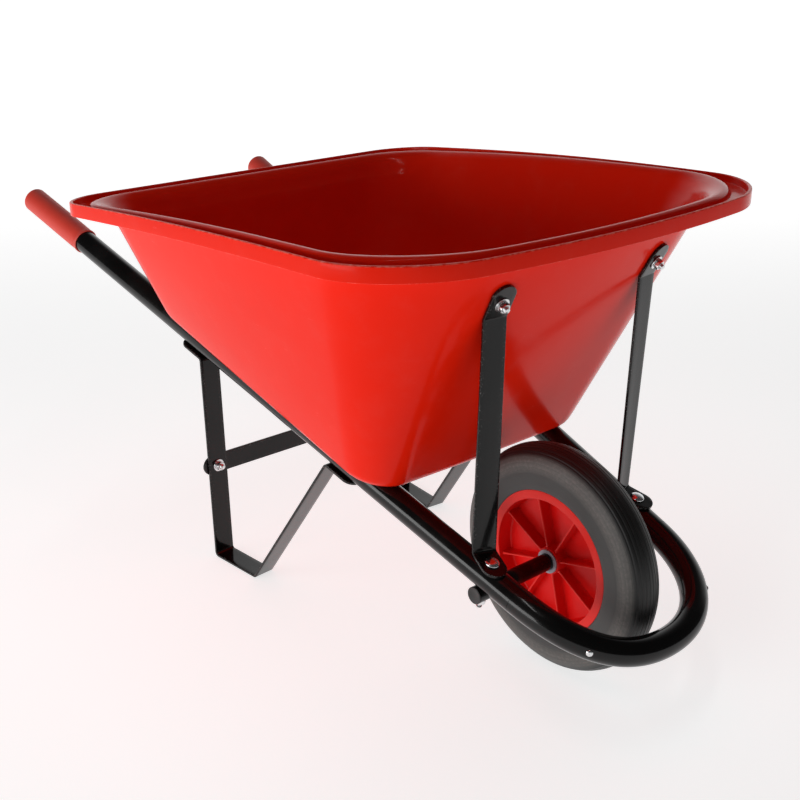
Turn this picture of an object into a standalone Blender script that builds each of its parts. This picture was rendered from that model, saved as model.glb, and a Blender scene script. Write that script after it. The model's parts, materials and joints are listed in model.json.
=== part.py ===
# Wheelbarrow with a moulded tray, bent tube handles, a front loop and one solid tyre.
# Metres. +X forward (wheel end), +Y the barrow's left, +Z up, feet and tyre on z = 0.
import math

import bmesh
import bpy
import numpy as np
from mathutils import Matrix, Vector

# ---------------------------------------------------------------- driving sizes
GAP = 0.0003                  # space kept between two pieces that touch

TYRE_R = 0.165                # wheel
TYRE_HALF_W = 0.0297
RIM_R = 0.104
RIM_HALF_W = 0.027
RIM_INNER_R = 0.0915
WEB_HALF_T = 0.004
RIB_COUNT = 8
RIB_T = 0.003
RIB_PHASE = math.radians(16.0)
HUB_WALL = 0.00361             # hub tube round the bush
HUB_HALF_W = 0.022

AXLE_R = 0.012                # axle tube
AXLE_WALL = 0.002
AXLE_HALF_L = 0.1625          # to the outer face of its end plugs
PLUG_T = 0.0015               # plug flange over the tube's end
PLUG_L = 0.009                # plug inside the tube
BUSH_CLEAR = 0.00009
BUSH_T = 0.003
SADDLE_DEPTH = 0.0037         # how far the rail sinks into the axle tube's top

TUBE_R = 0.019                # handle tubes
TUBE_WALL = 0.0016
RAIL_PITCH = math.radians(16.84)
RAIL_Y0 = 0.1452              # half spacing above the axle
RAIL_SPLAY = 0.082            # how fast the half spacing grows towards the grips
RAIL_REAR = 1.122             # rear end of the tube, from the axle bolt
RAIL_FRONT = -0.050           # seam with the loop
SPIGOT_L = 0.028
LOOP_CLEAR = 0.008            # loop's inside ahead of the tyre's front
LOOP_SAG = 0.0133             # extra dip of the loop's nose
LOOP_PULL = 0.072
LOOP_ROUND = 0.098

GRIP_L = 0.165                # grip on the tube
GRIP_WALL = 0.0024
GRIP_END_T = 0.004

STRAP_W = 0.035               # flat steel
STRAP_T = 0.004
BEND_R = 0.006
LEG_REAR_OFF = 0.030           # tray bolt to the top of the leg's upright
LEG_RAKE = 0.004              # upright's foot ahead of its top
LEG_FOOT_L = 0.101
LEG_FRONT_OFF = 0.030          # front tray bolt to the top of the strut
LEG_FLANGE_L = 0.052
BRACE_Z = 0.160
BRACE_OVER = 0.024

STAY_YAW = math.radians(16.0)
STAY_TAB_L = 0.024
STAY_DROP = 0.0823            # stay bolt below the front of the rim
STAY_Y = 0.143

BOLT_R = 0.004                # M8 fasteners
HOLE_R = BOLT_R + GAP
HEAD_R = 0.010
HEAD_H = 0.0050
HEAD_DISH = 0.0002            # a flat head's stand-off in the curved front wall
NUT_FLATS = 0.013
NUT_H = 0.0065
WASHER_R = 0.010
WASHER_T = 0.0016
FRONT_BOLT_IN = 0.102          # tray bolts in from the floor's front and rear edges
REAR_BOLT_IN = 0.069

TRAY_REAR_X = -0.742          # outer edge of the tray's rim
TRAY_FRONT_X = 0.092
TRAY_HALF_REAR = 0.350
TRAY_HALF_FRONT = 0.362
TRAY_SIDE_BOW = 0.007
RIM_UP_FRONT = 0.4833         # rim above the axle
RIM_UP_REAR = 0.4230
RIM_HUMP = 0.009
LIP_IN = 0.046                # rim edge to the wall below it
FLOOR_REAR_X = -0.668
FLOOR_FRONT_X = -0.150
FLOOR_OVER_REAR = 0.033       # floor beyond the rail's centre line, each side
FLOOR_OVER_FRONT = 0.049
FLOOR_T = 0.004
WALL_T = 0.0040
FLOOR_BEND = 0.022

# ---------------------------------------------------------------- sizes that follow
BUSH_R = AXLE_R + BUSH_CLEAR + BUSH_T
HUB_R = BUSH_R + GAP + HUB_WALL
AXLE_DROP = TUBE_R + AXLE_R - SADDLE_DEPTH   # rail axis above the axle's, square to the rail
LOOP_FRONT_X = TYRE_R + LOOP_CLEAR + TUBE_R
GRIP_MOUTH = RAIL_REAR - GRIP_L
GRIP_R = TUBE_R + GRIP_WALL
RIM_Z_FRONT = TYRE_R + RIM_UP_FRONT
RIM_Z_REAR = TYRE_R + RIM_UP_REAR
STAY_BOLT_Z = RIM_Z_FRONT - STAY_DROP
RAIL_X0 = AXLE_DROP * math.sin(RAIL_PITCH)


def rail_s(x):
    """Distance along a rail from the axle bolt to a place `x` ahead of the axle."""
    return (RAIL_X0 - x) / math.cos(RAIL_PITCH)


FRONT_BOLT_S = rail_s(FLOOR_FRONT_X - FRONT_BOLT_IN)
REAR_BOLT_S = rail_s(FLOOR_REAR_X + REAR_BOLT_IN)
FLOOR_HALF_REAR = RAIL_Y0 + RAIL_SPLAY * rail_s(FLOOR_REAR_X) + FLOOR_OVER_REAR
FLOOR_HALF_FRONT = RAIL_Y0 + RAIL_SPLAY * rail_s(FLOOR_FRONT_X) + FLOOR_OVER_FRONT
LEG_REAR_X = -(FLOOR_REAR_X + REAR_BOLT_IN) - LEG_REAR_OFF
LEG_HEEL_X = LEG_REAR_X - LEG_RAKE
LEG_TOE_X = LEG_HEEL_X - LEG_FOOT_L
LEG_FRONT_X = -(FLOOR_FRONT_X - FRONT_BOLT_IN) + LEG_FRONT_OFF

# ---------------------------------------------------------------- clear the file
for ob in list(bpy.data.objects):
    bpy.data.objects.remove(ob, do_unlink=True)


# ---------------------------------------------------------------- materials
def material(name, color, rough, metal=0.0, coat=0.0):
    mat = bpy.data.materials.new(name)
    mat.use_nodes = True
    node = mat.node_tree.nodes["Principled BSDF"]
    node.inputs["Base Color"].default_value = (*color, 1.0)
    node.inputs["Roughness"].default_value = rough
    node.inputs["Metallic"].default_value = metal
    node.inputs["Coat Weight"].default_value = coat
    mat.diffuse_color = (*color, 1.0)
    return mat


LOOKS = {
    "red_plastic": ((0.62, 0.03, 0.02), 0.22, 0.0, 0.3),
    "rim_plastic": ((0.58, 0.01, 0.01), 0.30, 0.0, 0.1),
    "black_paint": ((0.012, 0.012, 0.012), 0.18, 0.0, 0.5),
    "zinc": ((0.70, 0.71, 0.72), 0.28, 1.0, 0.0),
    "rubber": ((0.035, 0.035, 0.034), 0.65, 0.0, 0.0),
    "grip_vinyl": ((0.50, 0.04, 0.03), 0.55, 0.0, 0.0),
    "bush_nylon": ((0.35, 0.33, 0.38), 0.45, 0.0, 0.0),
    "black_plastic": ((0.016, 0.016, 0.017), 0.45, 0.0, 0.0),
}
PARTS = []


def face_out(mesh):
    """Turn every face of a closed mesh outwards."""
    bm = bmesh.new()
    bm.from_mesh(mesh)
    bmesh.ops.recalc_face_normals(bm, faces=bm.faces)
    if bm.calc_volume(signed=True) < 0.0:
        bmesh.ops.reverse_faces(bm, faces=bm.faces)
    bm.to_mesh(mesh)
    bm.free()


def make(name, verts, faces, look, at=None):
    """Make one named object, its origin at `at` and its faces pointing out."""
    shift = Vector(at) if at is not None else Vector((0.0, 0.0, 0.0))
    mesh = bpy.data.meshes.new(name)
    mesh.from_pydata([Vector(v) - shift for v in verts], [], faces)
    mesh.update()
    face_out(mesh)
    ob = bpy.data.objects.new(name, mesh)
    ob.location = shift
    bpy.context.collection.objects.link(ob)
    mesh.materials.append(material(name + "_mat", *LOOKS[look]))
    PARTS.append(ob)
    return ob


def boolean(ob, tool, operation):
    """Apply one exact boolean and remove the tool."""
    tool.hide_render = True
    tool.display_type = "WIRE"
    mod = ob.modifiers.new("cut", "BOOLEAN")
    mod.operation = operation
    mod.solver = "EXACT"
    mod.object = tool
    bpy.context.view_layer.update()
    graph = bpy.context.evaluated_depsgraph_get()
    result = bpy.data.meshes.new_from_object(ob.evaluated_get(graph))
    ob.modifiers.remove(mod)
    ob.data = result
    face_out(result)
    bpy.data.objects.remove(tool, do_unlink=True)


def tool_mesh(verts, faces):
    mesh = bpy.data.meshes.new("tool")
    mesh.from_pydata([Vector(v) for v in verts], [], faces)
    mesh.update()
    face_out(mesh)
    ob = bpy.data.objects.new("tool", mesh)
    bpy.context.collection.objects.link(ob)
    return ob


# ---------------------------------------------------------------- mesh helpers
def frame_for(axis):
    """Two unit vectors square to the axis."""
    axis = Vector(axis).normalized()
    side = Vector((0.0, 1.0, 0.0))
    if abs(axis.dot(side)) > 0.9:
        side = Vector((1.0, 0.0, 0.0))
    u = (side - axis * side.dot(axis)).normalized()
    return axis, u, axis.cross(u)


def rings_to_faces(ring_count, n, closed=False, flip_ends=True):
    """Quads between rings of n points; end caps unless the stack closes on itself."""
    faces = []
    spans = ring_count if closed else ring_count - 1
    for i in range(spans):
        a = i * n
        b = ((i + 1) % ring_count) * n
        for j in range(n):
            k = (j + 1) % n
            faces.append((a + j, a + k, b + k, b + j))
    if not closed and flip_ends:
        faces.append(tuple(range(n - 1, -1, -1)))
        faces.append(tuple(range((ring_count - 1) * n, ring_count * n)))
    return faces


def turned(base, axis, profile, n, closed=False, phase=0.0):
    """Turn a profile of (radius, distance along the axis) about the axis."""
    axis, u, v = frame_for(axis)
    base = Vector(base)
    verts = []
    for r, h in profile:
        for j in range(n):
            a = phase + 2.0 * math.pi * j / n
            verts.append(base + axis * h + u * (r * math.cos(a)) + v * (r * math.sin(a)))
    return verts, rings_to_faces(len(profile), n, closed)


def swept_tube(centres, radii, wall, n):
    """Hollow round tube along a list of centres, open at both ends."""
    pts = [Vector(c) for c in centres]
    tangents = []
    for i in range(len(pts)):
        lo = pts[max(i - 1, 0)]
        hi = pts[min(i + 1, len(pts) - 1)]
        tangents.append((hi - lo).normalized())
    _, u, v = frame_for(tangents[0])
    rings_out = []
    rings_in = []
    last = tangents[0]
    for c, t, r in zip(pts, tangents, radii):
        turn = last.rotation_difference(t)
        u = turn @ u
        u = (u - t * u.dot(t)).normalized()
        v = t.cross(u)
        last = t
        for store, rad in ((rings_out, r), (rings_in, r - wall)):
            ring = []
            for j in range(n):
                a = 2.0 * math.pi * j / n
                ring.append(c + u * (rad * math.cos(a)) + v * (rad * math.sin(a)))
            store.append(ring)
    rings = rings_out + rings_in[::-1]
    verts = [p for ring in rings for p in ring]
    return verts, rings_to_faces(len(rings), n, closed=True)


def drill(ob, point, axis, radius, length, n=20):
    """Round hole through `ob`, centred on `point`."""
    axis = Vector(axis).normalized()
    base = Vector(point) - axis * (length / 2.0)
    verts, faces = turned(base, axis, [(radius, 0.0), (radius, length)], n)
    boolean(ob, tool_mesh(verts, faces), "DIFFERENCE")


def rounded_path(points, radius, steps=4):
    """Round each inner corner of a polyline."""
    pts = [Vector(p) for p in points]
    out = [pts[0]]
    for i in range(1, len(pts) - 1):
        a = (pts[i - 1] - pts[i]).normalized()
        b = (pts[i + 1] - pts[i]).normalized()
        half = a.angle(b) / 2.0
        back = radius / math.tan(half)
        start = pts[i] + a * back
        end = pts[i] + b * back
        mid_dir = (a + b).normalized()
        centre = pts[i] + mid_dir * (radius / math.sin(half))
        for k in range(steps + 1):
            f = k / steps
            ray = (start - centre).lerp(end - centre, f).normalized()
            out.append(centre + ray * radius)
    out.append(pts[-1])
    return out


def strap(points, widths, thick, width, bend, round_ends=(True, True), steps=4):
    """Bent flat bar. `widths` gives the width direction at each corner point."""
    path = rounded_path(points, bend, steps)
    dirs = [Vector(widths[0]).normalized()]
    for i in range(1, len(points) - 1):
        dirs.extend([Vector(widths[i]).normalized()] * (steps + 1))
    dirs.append(Vector(widths[-1]).normalized())
    half = width / 2.0
    stations = []
    for i in range(len(path)):
        lo = path[max(i - 1, 0)]
        hi = path[min(i + 1, len(path) - 1)]
        stations.append([path[i], (hi - lo).normalized(), dirs[i], half])
    # the bars of a bend are square to the flat they leave
    first = stations[0]
    last = stations[-1]
    nose = []
    tail = []
    for k in range(5):
        a = math.radians(18.0 + 72.0 * k / 4.0)
        back = half * (1.0 - math.cos(a))
        w = half * math.sin(a)
        nose.append([first[0] + first[1] * back, first[1], first[2], w])
        tail.append([last[0] - last[1] * back, last[1], last[2], w])
    if round_ends[0]:
        stations = nose + stations[1:]
    if round_ends[1]:
        stations = stations[:-1] + tail[::-1]
    verts = []
    for p, t, w, h in stations:
        w = (w - t * w.dot(t)).normalized()
        nrm = t.cross(w)
        up = nrm * (thick / 2.0)
        verts.extend([p - w * h - up, p + w * h - up, p + w * h + up, p - w * h + up])
    return verts, rings_to_faces(len(stations), 4)


def cup_bolt(name, seat, axis, length, look="zinc"):
    """Bolt with a domed head; the head's flat sits on `seat`, the shank runs along `axis`."""
    axis = Vector(axis).normalized()
    base = Vector(seat) - axis * (HEAD_H + GAP)
    prof = [(HEAD_R * 0.34, 0.0), (HEAD_R * 0.72, 0.0012), (HEAD_R * 0.94, 0.0030)]
    prof += [(HEAD_R, HEAD_H - 0.0006), (HEAD_R, HEAD_H)]
    prof += [(BOLT_R, HEAD_H), (BOLT_R, length + HEAD_H - 0.0008), (BOLT_R - 0.0008, length + HEAD_H)]
    verts, faces = turned(base, axis, prof, 16)
    return make(name, verts, faces, look)


def nut(name, seat, axis, look="zinc"):
    """Hexagon nut standing off `seat` by the gap, its bore along `axis`."""
    axis, u, v = frame_for(axis)
    base = Vector(seat) + axis * GAP
    corner = NUT_FLATS / 2.0 / math.cos(math.pi / 6.0)
    n = 12
    verts = []
    layers = [(0.0, 0.93), (0.0008, 1.0), (NUT_H - 0.0008, 1.0), (NUT_H, 0.93)]
    for h, scale in layers:
        for j in range(n):
            a = 2.0 * math.pi * j / n
            sector = (a % (math.pi / 3.0)) - math.pi / 6.0
            r = NUT_FLATS / 2.0 / math.cos(sector)
            r = min(r, corner * scale)
            verts.append(base + axis * h + u * (r * math.cos(a)) + v * (r * math.sin(a)))
    for h in (NUT_H, 0.0):
        for j in range(n):
            a = 2.0 * math.pi * j / n
            verts.append(base + axis * h + u * (HOLE_R * math.cos(a)) + v * (HOLE_R * math.sin(a)))
    return make(name, verts, rings_to_faces(6, n, closed=True), look)


def washer(name, seat, axis, look="zinc"):
    axis = Vector(axis).normalized()
    prof = [(WASHER_R, GAP), (WASHER_R, GAP + WASHER_T), (HOLE_R, GAP + WASHER_T), (HOLE_R, GAP)]
    verts, faces = turned(Vector(seat), axis, prof, 20, closed=True)
    return make(name, verts, faces, look)


# ---------------------------------------------------------------- rail lines
SIDES = (("right", -1.0), ("left", 1.0))
SIN_P = math.sin(RAIL_PITCH)
COS_P = math.cos(RAIL_PITCH)
UP_N = Vector((SIN_P, 0.0, COS_P))                      # square to both rails
RAIL_Z0 = TYRE_R + AXLE_DROP * COS_P


def on_rail(s, side, lift=0.0):
    """Point `s` behind the axle bolt along a rail, lifted square to the rail."""
    p = Vector((RAIL_X0 - s * COS_P, side * (RAIL_Y0 + RAIL_SPLAY * s), RAIL_Z0 + s * SIN_P))
    return p + UP_N * lift


def rail_dir(side):
    """Unit vector along a rail towards the grips."""
    return (on_rail(1.0, side) - on_rail(0.0, side)).normalized()


def side_axis(side):
    """Unit vector across a rail, level, pointing to +Y."""
    d = rail_dir(side)
    flat = Vector((d.x, d.y, 0.0)).normalized()
    across = Vector((-flat.y, flat.x, 0.0))
    return across if across.y > 0.0 else -across


# ---------------------------------------------------------------- handle tubes
N_TUBE = 20
for label, side in SIDES:
    centres = [on_rail(RAIL_FRONT, side), on_rail(RAIL_REAR, side)]
    verts, faces = swept_tube(centres, [TUBE_R] * 2, TUBE_WALL, N_TUBE)
    tube = make("handle_tube_" + label, verts, faces, "black_paint")
    for s in (0.0, FRONT_BOLT_S, REAR_BOLT_S):
        drill(tube, on_rail(s, side), UP_N, HOLE_R, 0.06)

# ---------------------------------------------------------------- front loop
N_LOOP = 16
joint = on_rail(RAIL_FRONT - GAP, -1.0)
forward = -rail_dir(-1.0)
p0 = Vector((joint.x, joint.y))
p1 = p0 + Vector((forward.x, forward.y)).normalized() * LOOP_PULL
p2 = Vector((LOOP_FRONT_X, -LOOP_ROUND))
p3 = Vector((LOOP_FRONT_X, 0.0))
half_loop = []
LOOP_STEPS = 10
for k in range(LOOP_STEPS + 1):
    t = k / LOOP_STEPS
    q = p0 * (1 - t) ** 3 + p1 * (3 * t * (1 - t) ** 2) + p2 * (3 * t * t * (1 - t)) + p3 * t ** 3
    run = q.x - joint.x
    span = LOOP_FRONT_X - joint.x
    z = joint.z - math.tan(RAIL_PITCH) * run - LOOP_SAG * (run / span) ** 2
    half_loop.append(Vector((q.x, q.y, z)))
spigot_r = TUBE_R - TUBE_WALL - GAP
spigot = [on_rail(RAIL_FRONT + SPIGOT_L, -1.0), on_rail(RAIL_FRONT - GAP + 0.00005, -1.0)]
collar = [half_loop[0], half_loop[0] + forward * 0.004]
half_line = spigot + collar + half_loop[1:]
half_rad = [spigot_r, spigot_r] + [TUBE_R] * (len(half_loop) + 1)
line = half_line + [Vector((p.x, -p.y, p.z)) for p in half_line[-2::-1]]
radii = half_rad + half_rad[-2::-1]
verts, faces = swept_tube(line, radii, TUBE_WALL, N_LOOP)
loop = make("front_loop", verts, faces, "black_paint")

# a small rivet in the outer face of each loop bend
RIVET_K = 5
for label, side in SIDES:
    c = half_loop[RIVET_K]
    along = (half_loop[RIVET_K + 1] - half_loop[RIVET_K - 1]).normalized()
    out = along.cross(Vector((0.0, 0.0, 1.0))).normalized()
    c = Vector((c.x, -side * c.y, c.z))
    out = Vector((abs(out.x), side * abs(out.y), 0.0)).normalized()
    drill(loop, c + out * TUBE_R, out, 0.0021 + GAP, 0.010, 16)
    start = c + out * (TUBE_R - 0.006)
    prof = [(0.0016, 0.0), (0.0021, 0.0006), (0.0021, 0.0064), (0.0046, 0.0065)]
    prof += [(0.0044, 0.0074), (0.0030, 0.0082), (0.0010, 0.0085)]
    verts, faces = turned(start, out, prof, 16)
    make("loop_rivet_" + label, verts, faces, "zinc")

# ---------------------------------------------------------------- grips
for label, side in SIDES:
    d = rail_dir(side)
    mouth = on_rail(GRIP_MOUTH, side)
    tube_end = (on_rail(RAIL_REAR, side) - mouth).length
    inner = TUBE_R + GAP
    full = tube_end + GAP + GRIP_END_T
    prof = [(inner, 0.0), (GRIP_R - 0.0006, 0.0), (GRIP_R, 0.0008), (GRIP_R - 0.0003, full * 0.5)]
    prof += [(GRIP_R - 0.0004, full - 0.0075), (GRIP_R - 0.0020, full - 0.0030)]
    prof += [(GRIP_R - 0.0052, full - 0.0008), (GRIP_R - 0.0095, full)]
    outer_count = len(prof)
    prof = prof + [(0.0015, full)]
    inner_prof = [(inner, 0.0), (inner, tube_end + GAP), (0.0015, tube_end + GAP)]
    n = N_TUBE
    verts, _ = turned(mouth, d, prof, n)
    more, _ = turned(mouth, d, inner_prof[1:], n)
    faces = rings_to_faces(len(prof), n, flip_ends=False)
    base = len(prof) * n
    for j in range(n):
        k = (j + 1) % n
        faces.append((j, k, base + k, base + j))
        faces.append((base + j, base + k, base + n + k, base + n + j))
    faces.append(tuple(range((len(prof) - 1) * n, len(prof) * n)))
    faces.append(tuple(range(base + n, base + 2 * n)))
    make("grip_" + label, verts + more, faces, "grip_vinyl")

# ---------------------------------------------------------------- wheel
WHEEL_AT = (0.0, 0.0, TYRE_R)
Y_AXIS = (0.0, 1.0, 0.0)


def wheel_ring(name, profile, n, look):
    verts, faces = turned(WHEEL_AT, Y_AXIS, profile, n, closed=True)
    return make(name, verts, faces, look, at=WHEEL_AT)


flange_in = RIM_HALF_W - 0.004
seat_r = RIM_R - 0.004
half = [(seat_r + GAP, flange_in - GAP), (RIM_R + GAP, flange_in - GAP), (RIM_R + GAP, RIM_HALF_W)]
# share of the way from rim to tread, and share of the half width lost there
shoulder = [(0.05, 0.057), (0.16, 0.020), (0.39, 0.0), (0.61, 0.027), (0.75, 0.118), (0.87, 0.286)]
shoulder += [(0.943, 0.505), (0.984, 0.741), (1.0, 0.90)]
for up, lost in shoulder:
    half.append((RIM_R + (TYRE_R - RIM_R) * up, TYRE_HALF_W * (1.0 - lost)))
tyre_profile = half + [(r, -y) for r, y in half[::-1]]
wheel_ring("tyre", tyre_profile, 56, "rubber")

bush_out = BUSH_R
hub_bore = BUSH_R + GAP
half = [
    (hub_bore, HUB_HALF_W), (HUB_R - 0.0008, HUB_HALF_W), (HUB_R, HUB_HALF_W - 0.0008),
    (HUB_R + 0.0012, WEB_HALF_T + 0.001), (HUB_R + 0.003, WEB_HALF_T),
    (RIM_INNER_R - 0.004, WEB_HALF_T), (RIM_INNER_R - 0.002, WEB_HALF_T + 0.001),
    (RIM_INNER_R, RIM_HALF_W - 0.001), (RIM_INNER_R + 0.0012, RIM_HALF_W),
    (RIM_R - 0.0010, RIM_HALF_W), (RIM_R, RIM_HALF_W - 0.0010), (RIM_R, flange_in), (seat_r, flange_in),
]
rim_profile = half + [(r, -y) for r, y in half[::-1]]
rim = wheel_ring("wheel_rim", rim_profile, 40, "rim_plastic")

# thin radial ribs on both faces of the web
rib_verts = []
rib_faces = []
for k in range(RIB_COUNT):
    ang = RIB_PHASE + 2.0 * math.pi * k / RIB_COUNT
    radial = Vector((math.cos(ang), 0.0, math.sin(ang)))
    across = Vector((-math.sin(ang), 0.0, math.cos(ang)))
    b = len(rib_verts)
    r0 = HUB_R - 0.0012
    r1 = RIM_INNER_R + 0.0020
    outline = [(r0, -HUB_HALF_W + 0.003), (r1, -RIM_HALF_W + 0.006)]
    outline += [(r1, RIM_HALF_W - 0.006), (r0, HUB_HALF_W - 0.003)]
    for w in (-RIB_T / 2.0, RIB_T / 2.0):
        for r, y in outline:
            rib_verts.append(radial * r + across * w + Vector((0.0, y, 0.0)))
    rib_faces.append((b, b + 1, b + 2, b + 3))
    rib_faces.append((b + 7, b + 6, b + 5, b + 4))
    for i in range(4):
        j = (i + 1) % 4
        rib_faces.append((b + i, b + 4 + i, b + 4 + j, b + j))
ribs = tool_mesh(rib_verts, rib_faces)
ribs.location = Vector(WHEEL_AT)
boolean(rim, ribs, "UNION")

for label, side in SIDES:
    bore = AXLE_R + BUSH_CLEAR
    y_in = side * 0.002
    y_face = side * (HUB_HALF_W + GAP)
    y_out = side * (HUB_HALF_W + GAP + 0.002)
    prof = [(bore, y_in), (bush_out, y_in), (bush_out, y_face), (bush_out + 0.0020, y_face)]
    prof += [(bush_out + 0.0020, y_out - side * 0.0006), (bush_out + 0.0013, y_out), (bore, y_out)]
    wheel_ring("hub_bush_" + label, prof, 32, "bush_nylon")

# ---------------------------------------------------------------- axle tube
AXLE_END = AXLE_HALF_L - PLUG_T - GAP
prof = [(AXLE_R, -AXLE_END), (AXLE_R, AXLE_END)]
prof += [(AXLE_R - AXLE_WALL, AXLE_END), (AXLE_R - AXLE_WALL, -AXLE_END)]
verts, faces = turned(WHEEL_AT, Y_AXIS, prof, 32, closed=True)
axle = make("axle_tube", verts, faces, "black_paint")
PLUG_R = AXLE_R - AXLE_WALL - GAP
for label, side in SIDES:
    base = Vector((0.0, side * (AXLE_HALF_L - PLUG_T - PLUG_L), TYRE_R))
    prof = [(PLUG_R - 0.0010, 0.0), (PLUG_R, 0.0010), (PLUG_R, PLUG_L), (AXLE_R, PLUG_L)]
    prof += [(AXLE_R, PLUG_L + PLUG_T - 0.0006), (AXLE_R - 0.0006, PLUG_L + PLUG_T)]
    verts, faces = turned(base, (0.0, side, 0.0), prof, 32)
    make("axle_plug_" + label, verts, faces, "black_plastic")
for label, side in SIDES:
    # saddle that lets the rail sit down into the tube's top
    d = rail_dir(side)
    start = on_rail(-0.08, side)
    verts, faces = turned(start, d, [(TUBE_R + GAP, 0.0), (TUBE_R + GAP, 0.16)], 48)
    boolean(axle, tool_mesh(verts, faces), "DIFFERENCE")
    low = on_rail(0.0, side, -AXLE_DROP)
    drill(axle, low, UP_N, HOLE_R, 0.05)

# ---------------------------------------------------------------- tray shell
TAN_P = math.tan(RAIL_PITCH)
FLOOR_C = on_rail(0.0, 1.0).dot(UP_N) + TUBE_R + GAP     # plane of the floor's underside


def floor_z(x):
    return (FLOOR_C - x * SIN_P) / COS_P


def outline(x_rear, x_front, w_rear, w_front, r_rear, r_front, bow_front, bow_side):
    """Rounded four-sided outline, the same count of points on every ring."""
    rear = Vector((x_rear, w_rear))
    front = Vector((x_front, w_front))
    edge = (rear - front).normalized()
    pts = []

    def arc(corner, d_in, d_out, radius, count):
        half_angle = d_in.angle(d_out) / 2.0
        back = radius / math.tan(half_angle)
        a = corner + d_in * back
        b = corner + d_out * back
        mid = corner + (d_in + d_out).normalized() * (radius / math.sin(half_angle))
        ang0 = math.atan2(a.y - mid.y, a.x - mid.x)
        ang1 = math.atan2(b.y - mid.y, b.x - mid.x)
        if ang1 < ang0:
            ang1 += 2.0 * math.pi
        ring = []
        for i in range(count + 1):
            t = ang0 + (ang1 - ang0) * i / count
            ring.append(mid + Vector((math.cos(t), math.sin(t))) * radius)
        return ring

    fc = arc(front, Vector((0.0, -1.0)), edge, r_front, 7)
    rc = arc(rear, -edge, Vector((0.0, -1.0)), r_rear, 6)
    for i in range(5):
        pts.append(Vector((x_front, 0.0)).lerp(fc[0], i / 5.0))
    pts.extend(fc)
    for i in range(1, 6):
        pts.append(fc[-1].lerp(rc[0], i / 6.0))
    pts.extend(rc)
    for i in range(1, 5):
        pts.append(rc[-1].lerp(Vector((x_rear, 0.0)), i / 4.0))
    mid_x = (x_rear + x_front) / 2.0
    half_x = (x_front - x_rear) / 2.0
    done = []
    for p in pts:
        u = max(-1.0, min(1.0, (p.x - mid_x) / half_x))
        grow = max(0.0, u) ** 2
        x = p.x - bow_front * p.y * p.y * grow
        y = p.y * (1.0 + bow_side * (1.0 - u * u) / max(w_rear, w_front))
        done.append((x, y))
    mirror = [(x, -y) for x, y in done[-2:0:-1]]
    return np.array(done + mirror)


EDGE_P = outline(TRAY_REAR_X, TRAY_FRONT_X, TRAY_HALF_REAR, TRAY_HALF_FRONT, 0.080, 0.130, 0.31, TRAY_SIDE_BOW)
WALL_P = outline(TRAY_REAR_X + 0.050, TRAY_FRONT_X - LIP_IN, TRAY_HALF_REAR - LIP_IN,
                 TRAY_HALF_FRONT - LIP_IN, 0.095, 0.145, 0.48, TRAY_SIDE_BOW)
FLOOR_P = outline(FLOOR_REAR_X, FLOOR_FRONT_X, FLOOR_HALF_REAR, FLOOR_HALF_FRONT, 0.062, 0.060, 0.06, 0.001)
RING_N = len(EDGE_P)


def rim_z(x):
    f = (x - TRAY_REAR_X) / (TRAY_FRONT_X - TRAY_REAR_X)
    f = np.clip(f, 0.0, 1.0)
    return RIM_Z_REAR + (RIM_Z_FRONT - RIM_Z_REAR) * f + RIM_HUMP * np.sin(np.pi * f)


def ring3(xy, z):
    return np.column_stack([xy, np.broadcast_to(z, (len(xy),))])


def inward(xy):
    """Unit plan vectors pointing into the tray."""
    along = np.roll(xy, -1, axis=0) - np.roll(xy, 1, axis=0)
    inn = np.column_stack([-along[:, 1], along[:, 0]])
    inn /= np.linalg.norm(inn, axis=1)[:, None]
    centre = xy.mean(axis=0)
    if ((centre - xy) * inn).sum() < 0.0:
        inn = -inn
    return inn


EDGE_Z = rim_z(EDGE_P[:, 0])


def lip_ring(d, h):
    """Ring `d` inside the rim's edge and `h` above it, blended towards the wall's outline."""
    xy = EDGE_P + (WALL_P - EDGE_P) * (d / LIP_IN)
    return ring3(xy, EDGE_Z + h)


def bend_rings(flat, corner, up, count):
    """Rings that round the corner between floor and wall."""
    rings = []
    for i in range(1, count):
        t = i / count
        rings.append(flat * (1 - t) ** 2 + corner * (2 * t * (1 - t)) + up * t ** 2)
    return rings


WALL_TOP_H = -0.034
wall_top = lip_ring(LIP_IN, WALL_TOP_H)
floor_corner = ring3(FLOOR_P, floor_z(FLOOR_P[:, 0]))
FLOOR_IN = inward(FLOOR_P)


def floor_side(lift, shrink):
    """Floor inset ring, corner ring and the wall ring above the bend."""
    corner_xy = FLOOR_P + FLOOR_IN * shrink
    flat_xy = FLOOR_P + FLOOR_IN * (FLOOR_BEND + shrink)
    corner = ring3(corner_xy, floor_z(corner_xy[:, 0]) + lift)
    flat = ring3(flat_xy, floor_z(flat_xy[:, 0]) + lift)
    return flat, corner


low_flat, low_corner = floor_side(0.0, 0.0)
to_top = wall_top - low_corner
reach = np.linalg.norm(to_top, axis=1)[:, None]
low_up = low_corner + to_top / reach * FLOOR_BEND

top_in = lip_ring(LIP_IN + WALL_T * 1.12, WALL_TOP_H)
high_flat, high_corner = floor_side(FLOOR_T / COS_P, WALL_T * 0.98)
to_top_in = top_in - high_corner
reach_in = np.linalg.norm(to_top_in, axis=1)[:, None]
high_up = high_corner + to_top_in / reach_in * (FLOOR_BEND - 0.001)

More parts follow.
